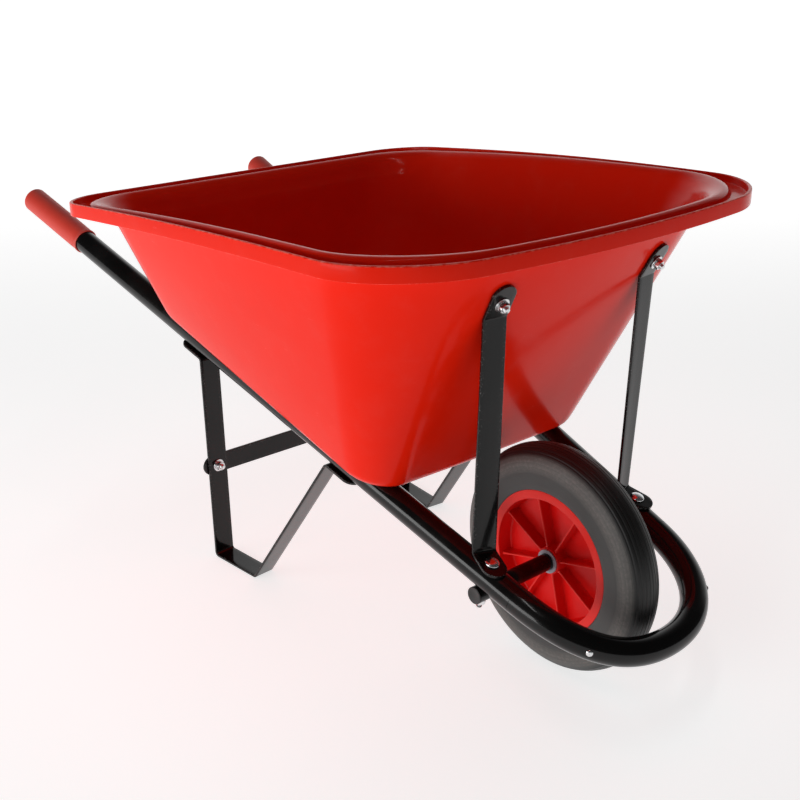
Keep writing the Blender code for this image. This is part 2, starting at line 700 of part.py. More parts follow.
BEND_N = 4
rings = [low_flat] + bend_rings(low_flat, low_corner, low_up, BEND_N) + [low_up, wall_top]
UNDER = [(0.0400, -0.0175), (0.0360, -0.0092), (0.0307, -0.0052), (0.0260, -0.0038)]
UNDER += [(0.0235, -0.0056), (0.0222, -0.0112), (0.0185, -0.0146), (0.0052, -0.0146), (0.0034, -0.0160)]
BAND = [(0.0034, -0.0200), (0.0, -0.0200), (0.0, -0.0010), (0.0010, 0.0), (0.0024, 0.0), (0.0034, -0.0010)]
UPPER = [(0.0034, -0.0095), (0.0050, -0.0110), (0.0165, -0.0110), (0.0187, -0.0088), (0.0202, -0.0030)]
UPPER += [(0.0222, -0.0008), (0.0260, 0.0002), (0.0322, -0.0016), (0.0388, -0.0066), (0.0436, -0.0155)]
for d, h in UNDER + BAND + UPPER:
    rings.append(lip_ring(d, h))
rings += [top_in, high_up] + bend_rings(high_flat, high_corner, high_up, BEND_N)[::-1] + [high_flat]
verts = [tuple(p) for ring in rings for p in ring]
tray = make("tray", verts, rings_to_faces(len(rings), RING_N), "red_plastic")


def wall_point(y_want, z_want):
    """Point, outward normal and highest rise around it on the outside of the front wall."""
    half = RING_N // 2

    def at_height(i):
        a = low_up[i]
        b = wall_top[i]
        return a + (b - a) * ((z_want - a[2]) / (b[2] - a[2]))

    i = 0
    while at_height(i + 1)[1] < y_want and i < half:
        i += 1
    p = at_height(i)
    q = at_height(i + 1)
    f = (y_want - p[1]) / (q[1] - p[1])
    point = p + (q - p) * f
    up = (wall_top[i] - low_up[i]) * (1.0 - f) + (wall_top[i + 1] - low_up[i + 1]) * f
    normal = np.cross(q - p, up)
    normal = normal / np.linalg.norm(normal)
    if normal[0] < 0.0:
        normal = -normal
    rise = 0.0
    for k in range(i - 2, i + 3):
        for low, high in ((k, k), (k, k + 1), (k + 1, k)):
            for step in range(101):
                c = low_up[low] + (wall_top[high] - low_up[low]) * (step / 100.0)
                away = c - point
                out = float(np.dot(away, normal))
                if np.linalg.norm(away - normal * out) < 0.036:
                    rise = max(rise, out)
    return Vector(point), Vector(normal), rise


# ---------------------------------------------------------------- tray bolts
for label, side in SIDES:
    for where, s in (("front", FRONT_BOLT_S), ("rear", REAR_BOLT_S)):
        seat = on_rail(s, side, TUBE_R + GAP + FLOOR_T)
        drill(tray, seat, UP_N, HOLE_R, 0.03)
        flange_low = TUBE_R + GAP + STRAP_T
        stack = (TUBE_R + GAP + FLOOR_T) + flange_low
        cup_bolt("tray_bolt_" + where + "_" + label, seat, -UP_N, stack + NUT_H + 0.007)
        nut("tray_nut_" + where + "_" + label, on_rail(s, side, -flange_low), -UP_N)

# ---------------------------------------------------------------- legs
for label, side in SIDES:
    d = rail_dir(side)
    across = side_axis(side)
    flat = Vector((d.x, d.y, 0.0)).normalized()
    under = -(TUBE_R + GAP + STRAP_T / 2.0)

    def at_x(x, z):
        p = on_rail(rail_s(-x), side)
        return Vector((p.x, p.y, z))

    s_rear = rail_s(-LEG_REAR_X)
    s_front = rail_s(-LEG_FRONT_X)
    top_rear = on_rail(s_rear, side, under)
    top_front = on_rail(s_front, side, under)
    pts = [on_rail(s_rear + LEG_FLANGE_L + 0.004, side, under), top_rear,
           at_x(LEG_HEEL_X, STRAP_T / 2.0), at_x(LEG_TOE_X, STRAP_T / 2.0),
           top_front, on_rail(s_front - LEG_FLANGE_L - 0.004, side, under)]
    verts, faces = strap(pts, [across] * 6, STRAP_T, STRAP_W, BEND_R)
    leg = make("leg_" + label, verts, faces, "black_paint")
    for s in (FRONT_BOLT_S, REAR_BOLT_S):
        drill(leg, on_rail(s, side, under), UP_N, HOLE_R, 0.02)
    down = (at_x(LEG_HEEL_X, STRAP_T / 2.0) - top_rear)
    f = (top_rear.z - BRACE_Z) / (top_rear.z - STRAP_T / 2.0)
    bolt_mid = top_rear + down * f
    back = -down.normalized().cross(across)
    if back.x > 0.0:
        back = -back
    drill(leg, bolt_mid, back, HOLE_R, 0.03)
    if side < 0.0:
        brace_right = (bolt_mid, back, across)
    else:
        brace_left = (bolt_mid, back, across)

# ---------------------------------------------------------------- brace between the legs
off = STRAP_T / 2.0 + GAP + STRAP_T / 2.0
mid_r, back_r, across_r = brace_right
mid_l, back_l, across_l = brace_left
cr = mid_r + back_r * off
cl = mid_l + back_l * off
fold_in = STRAP_W / 2.0 + 0.006
pts = [cr - across_r * BRACE_OVER, cr + across_r * fold_in, cl - across_l * fold_in, cl + across_l * BRACE_OVER]
tall_r = back_r.cross(across_r)
tall_l = back_l.cross(across_l)
tall_mid = (tall_r + tall_l).normalized()
verts, faces = strap(pts, [tall_r, tall_r, tall_l, tall_l], STRAP_T, STRAP_W - 0.003, 0.020, steps=2)
brace = make("leg_brace", verts, faces, "black_paint")
for (label, side), c, back in zip(SIDES, (cr, cl), (back_r, back_l)):
    drill(brace, c, back, HOLE_R, 0.03)
    seat = c + back * (STRAP_T / 2.0)
    reach_l = STRAP_T * 2 + GAP + WASHER_T + GAP + NUT_H + 0.006
    cup_bolt("brace_bolt_" + label, seat, -back, reach_l)
    leg_face = c - back * (STRAP_T * 1.5 + GAP)
    washer("brace_washer_" + label, leg_face, -back)
    nut("brace_nut_" + label, leg_face - back * (WASHER_T + GAP), -back)

# ---------------------------------------------------------------- stays and axle bolts
for label, side in SIDES:
    low = on_rail(0.0, side, TUBE_R + GAP + STRAP_T / 2.0)
    d = rail_dir(side)
    level = UP_N.cross(d).normalized()
    if level.y < 0.0:
        level = -level
    turn = Matrix.Rotation(side * STAY_YAW, 3, UP_N)
    w_low = turn @ Vector((0.0, 1.0, 0.0))
    t_low = turn @ Vector((-COS_P, 0.0, SIN_P))
    point, normal, rise = wall_point(STAY_Y, STAY_BOLT_Z)
    if side < 0.0:
        point = Vector((point.x, -point.y, point.z))
        normal = Vector((normal.x, -normal.y, normal.z))
    stand = GAP + rise
    mid = point + normal * (stand + STRAP_T / 2.0)
    up = (Vector((0.0, 0.0, 1.0)) - normal * normal.z).normalized()
    w_top = normal.cross(up)
    if w_top.y < 0.0:
        w_top = -w_top
    pts = [low - t_low * STAY_TAB_L, low + t_low * STAY_TAB_L, mid - up * STAY_TAB_L, mid + up * 0.028]
    verts, faces = strap(pts, [w_low, w_low, w_top, w_top], STRAP_T, STRAP_W, BEND_R)
    stay = make("stay_" + label, verts, faces, "black_paint")
    drill(stay, low, UP_N, HOLE_R, 0.02)
    drill(stay, mid, normal, HOLE_R, 0.02)
    drill(tray, point, normal, HOLE_R, 0.03)
    inside = point - normal * (WALL_T * 1.12 + HEAD_DISH)
    reach_t = WALL_T * 1.12 + stand + STRAP_T + GAP + WASHER_T + GAP + NUT_H + 0.006
    cup_bolt("stay_bolt_" + label, inside, normal, reach_t)
    face = point + normal * (stand + STRAP_T)
    washer("stay_washer_" + label, face, normal)
    nut("stay_nut_" + label, face + normal * (GAP + WASHER_T), normal)
    print("stay", label, "wall rise mm", round(rise * 1000.0, 3), "normal", [round(c, 3) for c in normal])
    seat = on_rail(0.0, side, TUBE_R + GAP + STRAP_T)
    through = TUBE_R + GAP + STRAP_T + AXLE_DROP + AXLE_R
    cup_bolt("axle_bolt_" + label, seat, -UP_N, through + NUT_H + 0.009)
    nut("axle_nut_" + label, on_rail(0.0, side, -AXLE_DROP - AXLE_R), -UP_N)

# ---------------------------------------------------------------- centre the part on x
bpy.context.view_layer.update()
lo = min((ob.matrix_world @ v.co).x for ob in PARTS for v in ob.data.vertices)
hi = max((ob.matrix_world @ v.co).x for ob in PARTS for v in ob.data.vertices)
shift = -(lo + hi) / 2.0
for ob in PARTS:
    if ob.location.length > 0.0:
        ob.location.x += shift
    else:
        ob.data.transform(Matrix.Translation((shift, 0.0, 0.0)))
        ob.data.update()
bpy.context.view_layer.update()
print("axle at x", round(shift, 6), "z", TYRE_R)
print("length", round(hi - lo, 4), "nodes", len(PARTS))
total = 0
for ob in PARTS:
    ob.data.calc_loop_triangles()
    count = len(ob.data.loop_triangles)
    total += count
    if count > 900:
        print(ob.name, "triangles", count)
print("triangles", total)
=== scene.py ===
# %% [markdown]
# # A wheelbarrow, dressed piece by piece
# A wheelbarrow is one tray, two bent tubes, some flat steel bars, a wheel and a handful of bolts.
# The plain solid parts already exist, with their joint, in one shared frame: metres, +X forward
# to the wheel, +Z up, everything standing on z = 0. This lesson gives each part its finished
# shape and surface. Every place is read from the solid parts, so nothing has to be fitted by eye.

# %% Load the solid parts
import json
import math

import bmesh
import bpy
import numpy as np
from mathutils import Matrix, Vector

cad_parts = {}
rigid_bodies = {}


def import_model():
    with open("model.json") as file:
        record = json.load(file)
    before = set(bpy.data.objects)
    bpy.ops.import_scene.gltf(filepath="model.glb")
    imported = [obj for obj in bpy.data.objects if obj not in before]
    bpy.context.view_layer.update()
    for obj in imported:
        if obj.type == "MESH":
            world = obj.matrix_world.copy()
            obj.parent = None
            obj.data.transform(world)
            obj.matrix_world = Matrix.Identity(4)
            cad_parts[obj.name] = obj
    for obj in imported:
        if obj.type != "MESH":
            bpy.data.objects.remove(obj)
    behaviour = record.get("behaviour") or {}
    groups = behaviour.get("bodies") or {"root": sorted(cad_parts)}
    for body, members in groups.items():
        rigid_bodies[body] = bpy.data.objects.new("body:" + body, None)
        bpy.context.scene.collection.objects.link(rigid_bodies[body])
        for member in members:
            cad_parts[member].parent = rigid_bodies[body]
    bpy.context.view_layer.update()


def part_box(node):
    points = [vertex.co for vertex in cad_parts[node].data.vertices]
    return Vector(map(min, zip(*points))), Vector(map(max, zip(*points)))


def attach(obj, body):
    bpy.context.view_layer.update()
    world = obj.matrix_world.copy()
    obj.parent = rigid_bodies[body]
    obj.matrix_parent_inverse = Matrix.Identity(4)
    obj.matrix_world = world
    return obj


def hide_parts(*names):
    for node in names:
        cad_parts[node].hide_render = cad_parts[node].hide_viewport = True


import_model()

# %% [markdown]
# ## The few sizes that everything follows
# The tyre is round, so the middle of its box is the axle. The handle tubes rise from the axle
# towards the grips at one steady slope and spread apart a little. Naming these sizes once means
# that each later piece can say where it sits in words: so far along the tube, so far above it.

# %% Axle, tubes and flat bar
tyre_low, tyre_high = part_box("tyre")
AXLE_X = (tyre_low.x + tyre_high.x) / 2.0
TYRE_R = (tyre_high.z - tyre_low.z) / 2.0
GAP = 0.0003
AXLE_R, AXLE_WALL, AXLE_HALF_L = 0.012, 0.002, 0.1625
TUBE_R = 0.019
AXLE_DROP = TUBE_R + AXLE_R - 0.0037
SLOPE = math.radians(16.84)
SIN_S, COS_S = math.sin(SLOPE), math.cos(SLOPE)
SPREAD_AT_AXLE, SPREAD_RATE = 0.1452, 0.082
TUBE_FRONT, TUBE_REAR = -0.050, 1.122
STRAP_W, STRAP_T = 0.035, 0.004
SIDES = (("right", -1.0), ("left", 1.0))
UP_N = Vector((SIN_S, 0.0, COS_S))
TUBE_X0 = AXLE_X + AXLE_DROP * SIN_S
TUBE_Z0 = TYRE_R + AXLE_DROP * COS_S
print("axle at x", round(AXLE_X, 4), "tyre radius", round(TYRE_R, 4))


# %% Places along a handle tube
def on_tube(s, side, lift=0.0):
    """Point s behind the axle bolt on a tube's middle line, lifted square to the tube."""
    p = Vector((TUBE_X0 - s * COS_S, side * (SPREAD_AT_AXLE + SPREAD_RATE * s), TUBE_Z0 + s * SIN_S))
    return p + UP_N * lift


def along_tube(side):
    """Unit vector along a tube, towards its grip."""
    return (on_tube(1.0, side) - on_tube(0.0, side)).normalized()


def across_tube(side):
    """Level unit vector across a tube, towards the barrow's left."""
    d = along_tube(side)
    across = Vector((-d.y, d.x, 0.0)).normalized()
    return across if across.y > 0.0 else -across


def reach_at(x):
    """Distance along a tube to a place x in the frame."""
    return (TUBE_X0 - x) / COS_S


print("grip ends at", [round(c, 3) for c in on_tube(TUBE_REAR, -1.0)])

# %% [markdown]
# ## Node trees written as sums
# Blender's materials and its Geometry Nodes are both trees of small boxes joined by wires.
# Wiring them by hand in code is long, so a tiny class wraps one output socket. Python's own
# plus, minus and times then place the Math boxes, and a formula reads like a formula.

# %% A wire that can be added and multiplied
class Wire:
    """One output socket of a node tree, usable in ordinary sums."""

    def __init__(self, bench, socket):
        self.bench = bench
        self.socket = socket

    def maths(self, operation, *others):
        values = dict(enumerate((self,) + others))
        return self.bench.node("ShaderNodeMath", {"operation": operation}, values)["Value"]

    def turned_round(self, operation, other):
        return self.bench.node("ShaderNodeMath", {"operation": operation}, {0: other, 1: self})["Value"]

    def __add__(self, other):
        return self.maths("ADD", other)

    def __sub__(self, other):
        return self.maths("SUBTRACT", other)

    def __rsub__(self, other):
        return self.turned_round("SUBTRACT", other)

    def __mul__(self, other):
        return self.maths("MULTIPLY", other)

    def __truediv__(self, other):
        return self.maths("DIVIDE", other)

    def __rtruediv__(self, other):
        return self.turned_round("DIVIDE", other)

    def __pow__(self, other):
        return self.maths("POWER", other)

    __radd__ = __add__
    __rmul__ = __mul__


# %% A placed node and the bench it stands on
class Placed:
    """A node in a tree; square brackets give one of its outputs as a Wire."""

    def __init__(self, bench, raw):
        self.bench = bench
        self.raw = raw

    def __getitem__(self, key):
        return Wire(self.bench, self.raw.outputs[key])


class Bench:
    """Places nodes in one tree: settings first, then the values or wires of the sockets."""

    def __init__(self, tree):
        self.tree = tree

    def node(self, kind, settings=None, sockets=None):
        raw = self.tree.nodes.new(kind)
        for key, value in (settings or {}).items():
            if key == "stops":
                ramp = raw.color_ramp
                while len(ramp.elements) < len(value):
                    ramp.elements.new(0.5)
                for element, (place, colour) in zip(ramp.elements, value):
                    element.position = place
                    element.color = (*colour, 1.0)
            else:
                setattr(raw, key, value)
        for key, value in (sockets or {}).items():
            if isinstance(value, Wire):
                self.tree.links.new(value.socket, raw.inputs[key])
            else:
                raw.inputs[key].default_value = value
        return Placed(self, raw)

    def mix(self, share, a, b, blend="MIX"):
        """Colour a turning into colour b as the share goes from 0 to 1."""
        a = a if isinstance(a, Wire) else (*a, 1.0)
        b = b if isinstance(b, Wire) else (*b, 1.0)
        settings = {"data_type": "RGBA", "blend_type": blend}
        return self.node("ShaderNodeMix", settings, {0: share, 6: a, 7: b})[2]

    def noise(self, where, scale, detail=3.0, rough=0.5):
        values = {"Vector": where, "Scale": scale, "Detail": detail, "Roughness": rough}
        return self.node("ShaderNodeTexNoise", {}, values)["Fac"]

    def ease(self, value, low, high, to_low=0.0, to_high=1.0):
        """Smooth step from to_low to to_high as the value goes from low to high."""
        sockets = {"Value": value, 1: low, 2: high, 3: to_low, 4: to_high}
        return self.node("ShaderNodeMapRange", {"interpolation_type": "SMOOTHSTEP"}, sockets)["Result"]


print("sums ready:", [n for n in dir(Wire) if n.startswith("__r") and n[3:6] in ("add", "sub", "mul", "tru")])


# %% A finish is a bench with a shader on it
class Finish(Bench):
    """A material whose shader's own sockets hold what is the same all over."""

    def __init__(self, name, **fixed):
        self.material = bpy.data.materials.new(name)
        self.material.use_nodes = True
        super().__init__(self.material.node_tree)
        self.shader = self.tree.nodes["Principled BSDF"]
        for key, value in fixed.items():
            self.shader.inputs[key.replace("_", " ")].default_value = value
        self.place = self.node("ShaderNodeTexCoord")["Object"]

    def stretched(self, x, y, z):
        """Object coordinates scaled by an amount for each direction."""
        sockets = {0: self.place, 1: (x, y, z)}
        return self.node("ShaderNodeVectorMath", {"operation": "MULTIPLY"}, sockets)["Vector"]

    def painted(self, name):
        """A number that the mesh carries, such as how much an edge is rubbed."""
        return self.node("ShaderNodeAttribute", {"attribute_name": name})["Fac"]

    def wear(self, colour=None, rough=None, metal=None):
        for key, wire in (("Base Color", colour), ("Roughness", rough), ("Metallic", metal)):
            if wire is not None:
                self.tree.links.new(wire.socket, self.shader.inputs[key])
        self.material.diffuse_color = self.shader.inputs["Base Color"].default_value

    def relief(self, *layers):
        """Chain bumps, each a height wire, its depth in metres and its strength."""
        last = None
        for height, depth, strength in layers:
            sockets = {"Height": height, "Distance": depth, "Strength": strength}
            if last is not None:
                sockets["Normal"] = last
            last = self.node("ShaderNodeBump", {}, sockets)["Normal"]
        self.tree.links.new(last.socket, self.shader.inputs["Normal"])


# %% [markdown]
# ## From lists of points to pieces
# Most of the barrow is rings of points joined by four-sided faces: a turned wheel rim, a bent
# bar, the tray itself. One helper makes the mesh, welds it, turns its faces outwards and marks
# the sharp edges; others say which part it replaces and what it rides on.

# %% Make a piece
def joined_rings(count, n, closed):
    """Four-sided faces between rings of n points, with end caps unless the stack closes."""
    faces = []
    for i in range(count if closed else count - 1):
        a = i * n
        b = ((i + 1) % count) * n
        for j in range(n):
            k = (j + 1) % n
            faces.append((a + j, a + k, b + k, b + j))
    if not closed:
        faces.append(tuple(range(n - 1, -1, -1)))
        faces.append(tuple(range((count - 1) * n, count * n)))
    return faces


def face_out(mesh, weld=True):
    """Weld doubles and turn every face of a closed mesh outwards."""
    bm = bmesh.new()
    bm.from_mesh(mesh)
    if weld:
        bmesh.ops.remove_doubles(bm, verts=bm.verts, dist=1e-6)
    bmesh.ops.recalc_face_normals(bm, faces=bm.faces)
    if bm.calc_volume(signed=True) < 0.0:
        bmesh.ops.reverse_faces(bm, faces=bm.faces)
    bm.to_mesh(mesh)
    bm.free()


def shaded(mesh, sharp=38.0):
    mesh.shade_smooth()
    mesh.set_sharp_from_angle(angle=math.radians(sharp))


def piece(name, verts, faces, finish, sharp=38.0, rub=None):
    """A named object from points and faces; rub is one number a point for worn edges, and on the tray also
    for painted highlight lines.
    """
    mesh = bpy.data.meshes.new(name)
    mesh.from_pydata([tuple(v) for v in verts], [], faces)
    if rub is not None:
        mesh.attributes.new("rub", "FLOAT", "POINT").data.foreach_set("value", np.array(rub, np.float32))
    face_out(mesh)
    shaded(mesh, sharp)
    mesh.materials.append(finish.material)
    ob = bpy.data.objects.new(name, mesh)
    bpy.context.collection.objects.link(ob)
    return ob


def settle(ob, body, slot, *nodes):
    """The piece rides on a body and stands for the named solid parts."""
    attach(ob, body)
    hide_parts(*nodes)
    print(ob.name, "faces", len(ob.data.polygons), "stands for", len(nodes))
    return ob


# %% Turn a profile round an axis
def square_to(axis):
    axis = Vector(axis).normalized()
    side = Vector((0.0, 1.0, 0.0)) if abs(axis.y) < 0.9 else Vector((1.0, 0.0, 0.0))
    u = (side - axis * side.dot(axis)).normalized()
    return axis, u, axis.cross(u)


def turned(base, axis, profile, n, closed=False):
    """Points and faces of a profile of (radius, distance along the axis) turned full circle."""
    axis, u, v = square_to(axis)
    base = Vector(base)
    verts = []
    for r, h in profile:
        for j in range(n):
            a = 2.0 * math.pi * j / n
            verts.append(base + axis * h + u * (r * math.cos(a)) + v * (r * math.sin(a)))
    return verts, joined_rings(len(profile), n, closed)


def rounded_corners(points, radii, steps=4):
    """A closed outline with each corner rounded by its own radius."""
    out = []
    count = len(points)
    for i in range(count):
        p = Vector(points[i])
        a = Vector(points[i - 1]) - p
        b = Vector(points[(i + 1) % count]) - p
        r = radii[i] if isinstance(radii, (list, tuple)) else radii
        if r <= 0.0:
            out.append(tuple(p))
            continue
        half = a.angle(b) / 2.0
        back = min(r / math.tan(half), a.length * 0.48, b.length * 0.48)
        start = p + a.normalized() * back
        end = p + b.normalized() * back
        for k in range(steps + 1):
            t = k / steps
            q = start * (1 - t) ** 2 + p * (2 * t * (1 - t)) + end * t ** 2
            out.append(tuple(q))
    return out

# %% [markdown]
# ## Recipes: Geometry Nodes for what repeats or follows a line
# Bolts, ribs and tubes are all one shape used again and again, or one section carried along a
# line. Geometry Nodes say that once. Each recipe below is a tree with named inputs; it is run on
# a few points, and the result is kept as a plain mesh so that nothing has to be worked out later.

# %% A recipe is a bench with inputs and one result
class Recipe(Bench):
    """A Geometry Nodes tree with named inputs that ends in Realize Instances and Set Material."""

    def __init__(self, name, **kinds):
        tree = bpy.data.node_groups.new(name, "GeometryNodeTree")
        super().__init__(tree)
        tree.interface.new_socket("Geometry", in_out="OUTPUT", socket_type="NodeSocketGeometry")
        tree.interface.new_socket("Geometry", in_out="INPUT", socket_type="NodeSocketGeometry")
        self.ids = {}
        for label, kind in kinds.items():
            item = tree.interface.new_socket(label, in_out="INPUT", socket_type="NodeSocket" + kind)
            self.ids[label] = item.identifier
        self.given = self.node("NodeGroupInput")

    def ends_with(self, geometry):
        real = self.node("GeometryNodeRealizeInstances", {}, {"Geometry": geometry})["Geometry"]
        sockets = {"Geometry": real, "Material": self.given["Finish"]}
        dressed = self.node("GeometryNodeSetMaterial", {}, sockets)["Geometry"]
        self.node("NodeGroupOutput", {}, {"Geometry": dressed})

    def run(self, name, mesh, sharp=38.0, **values):
        ob = bpy.data.objects.new(name, mesh)
        bpy.context.collection.objects.link(ob)
        live = ob.modifiers.new("recipe", "NODES")
        live.node_group = self.tree
        for label, value in values.items():
            live[self.ids[label]] = value
        graph = bpy.context.evaluated_depsgraph_get()
        made = bpy.data.meshes.new_from_object(ob.evaluated_get(graph))
        ob.modifiers.remove(live)
        ob.data = made
        face_out(made)
        shaded(made, sharp)
        return ob


# %% Recipe one: a round tube along a path
tube_recipe = Recipe("tube along a path", Radius="Float", Around="Int", Finish="Material")
line = tube_recipe.node("GeometryNodeMeshToCurve", {}, {"Mesh": tube_recipe.given["Geometry"]})["Curve"]
swell = tube_recipe.node("GeometryNodeInputNamedAttribute", {"data_type": "FLOAT"}, {"Name": "swell"})
line = tube_recipe.node("GeometryNodeSetCurveRadius", {}, {"Curve": line, "Radius": swell["Attribute"]})
ring = {"Radius": tube_recipe.given["Radius"], "Resolution": tube_recipe.given["Around"]}
section = tube_recipe.node("GeometryNodeCurvePrimitiveCircle", {}, ring)["Curve"]
swept = {"Curve": line["Curve"], "Profile Curve": section, "Fill Caps": True}
tube_recipe.ends_with(tube_recipe.node("GeometryNodeCurveToMesh", {}, swept)["Mesh"])


def path_mesh(points, swells):
    """A line of points that a recipe follows, each with how much the section swells there."""
    mesh = bpy.data.meshes.new("path")
    mesh.from_pydata([tuple(p) for p in points], [(i, i + 1) for i in range(len(points) - 1)], [])
    mesh.attributes.new("swell", "FLOAT", "POINT").data.foreach_set("value", np.array(swells, np.float32))
    return mesh


print("tube recipe nodes:", len(tube_recipe.tree.nodes))

# %% [markdown]
# ## Black paint
# The frame is dipped or powder coated in gloss black. Gloss paint on tube is never quite flat: it
# has a fine orange peel, a slow waviness, a dulled bloom of dust in places and a few rubbed
# spots on the edges of the flat bars where grey metal shows through.

# %% Gloss black for tube and bar
gloss_black = Finish("gloss black paint", Coat_Weight=0.30, Coat_Roughness=0.05, IOR=1.45,
                     Specular_IOR_Level=0.2)
peel = gloss_black.noise(gloss_black.place, 620.0, 2.0)
waves = gloss_black.noise(gloss_black.place, 38.0, 2.0)
bloom = gloss_black.ease(gloss_black.noise(gloss_black.place, 9.0, 5.0, 0.6), 0.42, 0.70)
flecks = gloss_black.ease(gloss_black.noise(gloss_black.place, 340.0, 3.0, 0.7), 0.56, 0.68)
rubbed = gloss_black.painted("rub") * flecks
paint = gloss_black.mix(bloom, (0.0030, 0.0029, 0.0029), (0.0085, 0.0082, 0.0080))
paint = gloss_black.mix(rubbed, paint, (0.115, 0.112, 0.110))
gloss_black.wear(paint, 0.13 + bloom * 0.12 + rubbed * 0.30 + peel * 0.03)
gloss_black.relief((waves, 0.0006, 0.22), (peel, 0.00012, 0.16))
print(gloss_black.material.name, "nodes:", len(gloss_black.tree.nodes))

# %% [markdown]
# ## Handle tubes
# Two straight steel tubes run from the seam with the front loop, over the axle, under the tray
# and back to the grips. A straight tube is the tube recipe on a very short path; two extra points
# at each end carry a slightly smaller section, which gives the cut edge its small rounding.

# %% The two straight tubes
for label, side in SIDES:
    stations = [(TUBE_FRONT, 0.965), (TUBE_FRONT + 0.0004, 0.992), (TUBE_FRONT + 0.0010, 1.0)]
    stations += [(0.3, 1.0), (0.7, 1.0), (TUBE_REAR - 0.0008, 1.0), (TUBE_REAR, 0.97)]
    path = path_mesh([on_tube(s, side) for s, _ in stations], [w for _, w in stations])
    tube = tube_recipe.run("handle_tube_line_" + label, path, Radius=TUBE_R, Around=72,
                           Finish=gloss_black.material)
    settle(tube, "frame", "black_paint", "handle_tube_" + label)

# %% [markdown]
# ## Front loop
# The loop is a third piece of the same tube, bent round in front of the tyre and pushed into the
# two handle tubes. Its middle line is one smooth cubic curve on each side: it leaves the seam in
# the direction of the handle tube and arrives square to the barrow's middle, dipping as it goes.

# %% The loop's middle line
LOOP_FRONT_X = AXLE_X + TYRE_R + 0.008 + TUBE_R
LOOP_PULL, LOOP_ROUND, LOOP_SAG = 0.072, 0.098, 0.0133
joint = on_tube(TUBE_FRONT - GAP, -1.0)
forward = -along_tube(-1.0)


def loop_point(t):
    """Point of the right half of the loop, from the seam at 0 to the nose at 1."""
    p0 = Vector((joint.x, joint.y))
    p1 = p0 + Vector((forward.x, forward.y)).normalized() * LOOP_PULL
    p2 = Vector((LOOP_FRONT_X, -LOOP_ROUND))
    p3 = Vector((LOOP_FRONT_X, 0.0))
    q = p0 * (1 - t) ** 3 + p1 * (3 * t * (1 - t) ** 2) + p2 * (3 * t * t * (1 - t)) + p3 * t ** 3
    run = q.x - joint.x
    share = run / (LOOP_FRONT_X - joint.x)
    return Vector((q.x, q.y, joint.z - math.tan(SLOPE) * run - LOOP_SAG * share ** 2))


right_half = [loop_point(k / 48.0) for k in range(49)]
right_half.insert(1, right_half[0].lerp(right_half[1], 0.03))
right_half.insert(2, right_half[0].lerp(right_half[2], 0.10))
loop_line = right_half + [Vector((p.x, -p.y, p.z)) for p in right_half[-2::-1]]
swells = [1.0] * len(loop_line)
swells[0] = swells[-1] = 0.965
swells[1] = swells[-2] = 0.992
loop = tube_recipe.run("front_loop_tube", path_mesh(loop_line, swells), Radius=TUBE_R, Around=64,
                       Finish=gloss_black.material)
settle(loop, "frame", "black_paint", "front_loop")
print("loop length", round(sum((b - a).length for a, b in zip(loop_line, loop_line[1:])), 3))

# %% [markdown]
# ## Flat bar
# Legs, stays and the cross brace are all 35 mm flat bar, bent cold and rounded at the ends. The
# section is a thin rectangle with small rounded corners. It is carried along a path whose bends
# are arcs, and it narrows along a quarter circle at each end. The corners of the section carry a
# number called rub, so that the paint can wear there first.

# %% Paths with rounded bends
def bent_path(points, radius, steps=8):
    """Each inner corner of a polyline becomes an arc."""
    pts = [Vector(p) for p in points]
    out = [pts[0]]
    for i in range(1, len(pts) - 1):
        a = (pts[i - 1] - pts[i]).normalized()
        b = (pts[i + 1] - pts[i]).normalized()
        half = a.angle(b) / 2.0
        start = pts[i] + a * (radius / math.tan(half))
        end = pts[i] + b * (radius / math.tan(half))
        centre = pts[i] + (a + b).normalized() * (radius / math.sin(half))
        for k in range(steps + 1):
            ray = (start - centre).lerp(end - centre, k / steps).normalized()
            out.append(centre + ray * radius)
    out.append(pts[-1])
    return out


# %% A bent flat bar
def bar_section(half, thick, soft=0.0008):
    """Half width, thickness and corner radius to a ring of points and their rub."""
    t = thick / 2.0
    soft = min(soft, half * 0.5)
    ring = []
    for cx, cy, start in ((half, t, 0), (-half, t, 90), (-half, -t, 180), (half, -t, 270)):
        mx = cx - math.copysign(soft, cx)
        my = cy - math.copysign(soft, cy)
        for k in range(5):
            a = math.radians(start + 22.5 * k)
            ring.append((mx + soft * math.cos(a), my + soft * math.sin(a), 1.0))
        if start in (0, 180):
            for f in (0.6, 0.0, -0.6):
                ring.append((math.copysign(1.0, cx) * f * half, cy, 0.0))
    return ring


def flat_bar(name, points, widths, finish, width=STRAP_W, bend=0.006):
    path = bent_path(points, bend)
    dirs = [Vector(widths[0])]
    for w in widths[1:-1]:
        dirs.extend([Vector(w)] * 9)
    dirs.append(Vector(widths[-1]))
    half = width / 2.0
    stations = []
    for i, p in enumerate(path):
        lo = path[max(i - 1, 0)]
        hi = path[min(i + 1, len(path) - 1)]
        stations.append((p, (hi - lo).normalized(), dirs[i], half))
    first, last = stations[0], stations[-1]
    nose, tail = [], []
    for k in range(15):
        a = math.radians(6.0 + 84.0 * k / 14.0)
        back = half * (1.0 - math.cos(a))
        w = half * math.sin(a)
        nose.append((first[0] + first[1] * back, first[1], first[2], w))
        tail.append((last[0] - last[1] * back, last[1], last[2], w))
    stations = nose + stations[1:-1] + tail[::-1]
    verts, rub = [], []
    for p, t, w, h in stations:
        w = (w - t * w.dot(t)).normalized()
        up = t.cross(w)
        for x, y, edge_mark in bar_section(h, STRAP_T):
            verts.append(p + w * x + up * y)
            rub.append(edge_mark)
    faces = joined_rings(len(stations), len(bar_section(half, STRAP_T)), False)
    return piece(name, verts, faces, finish, 50.0, rub)


# %% [markdown]
# ## Legs
# Each leg is one bar bent five times: a flange bolted under the tube, an upright, a flat foot, a
# sloping strut and a second flange. The front bolt and the rear bolt fix where it hangs.

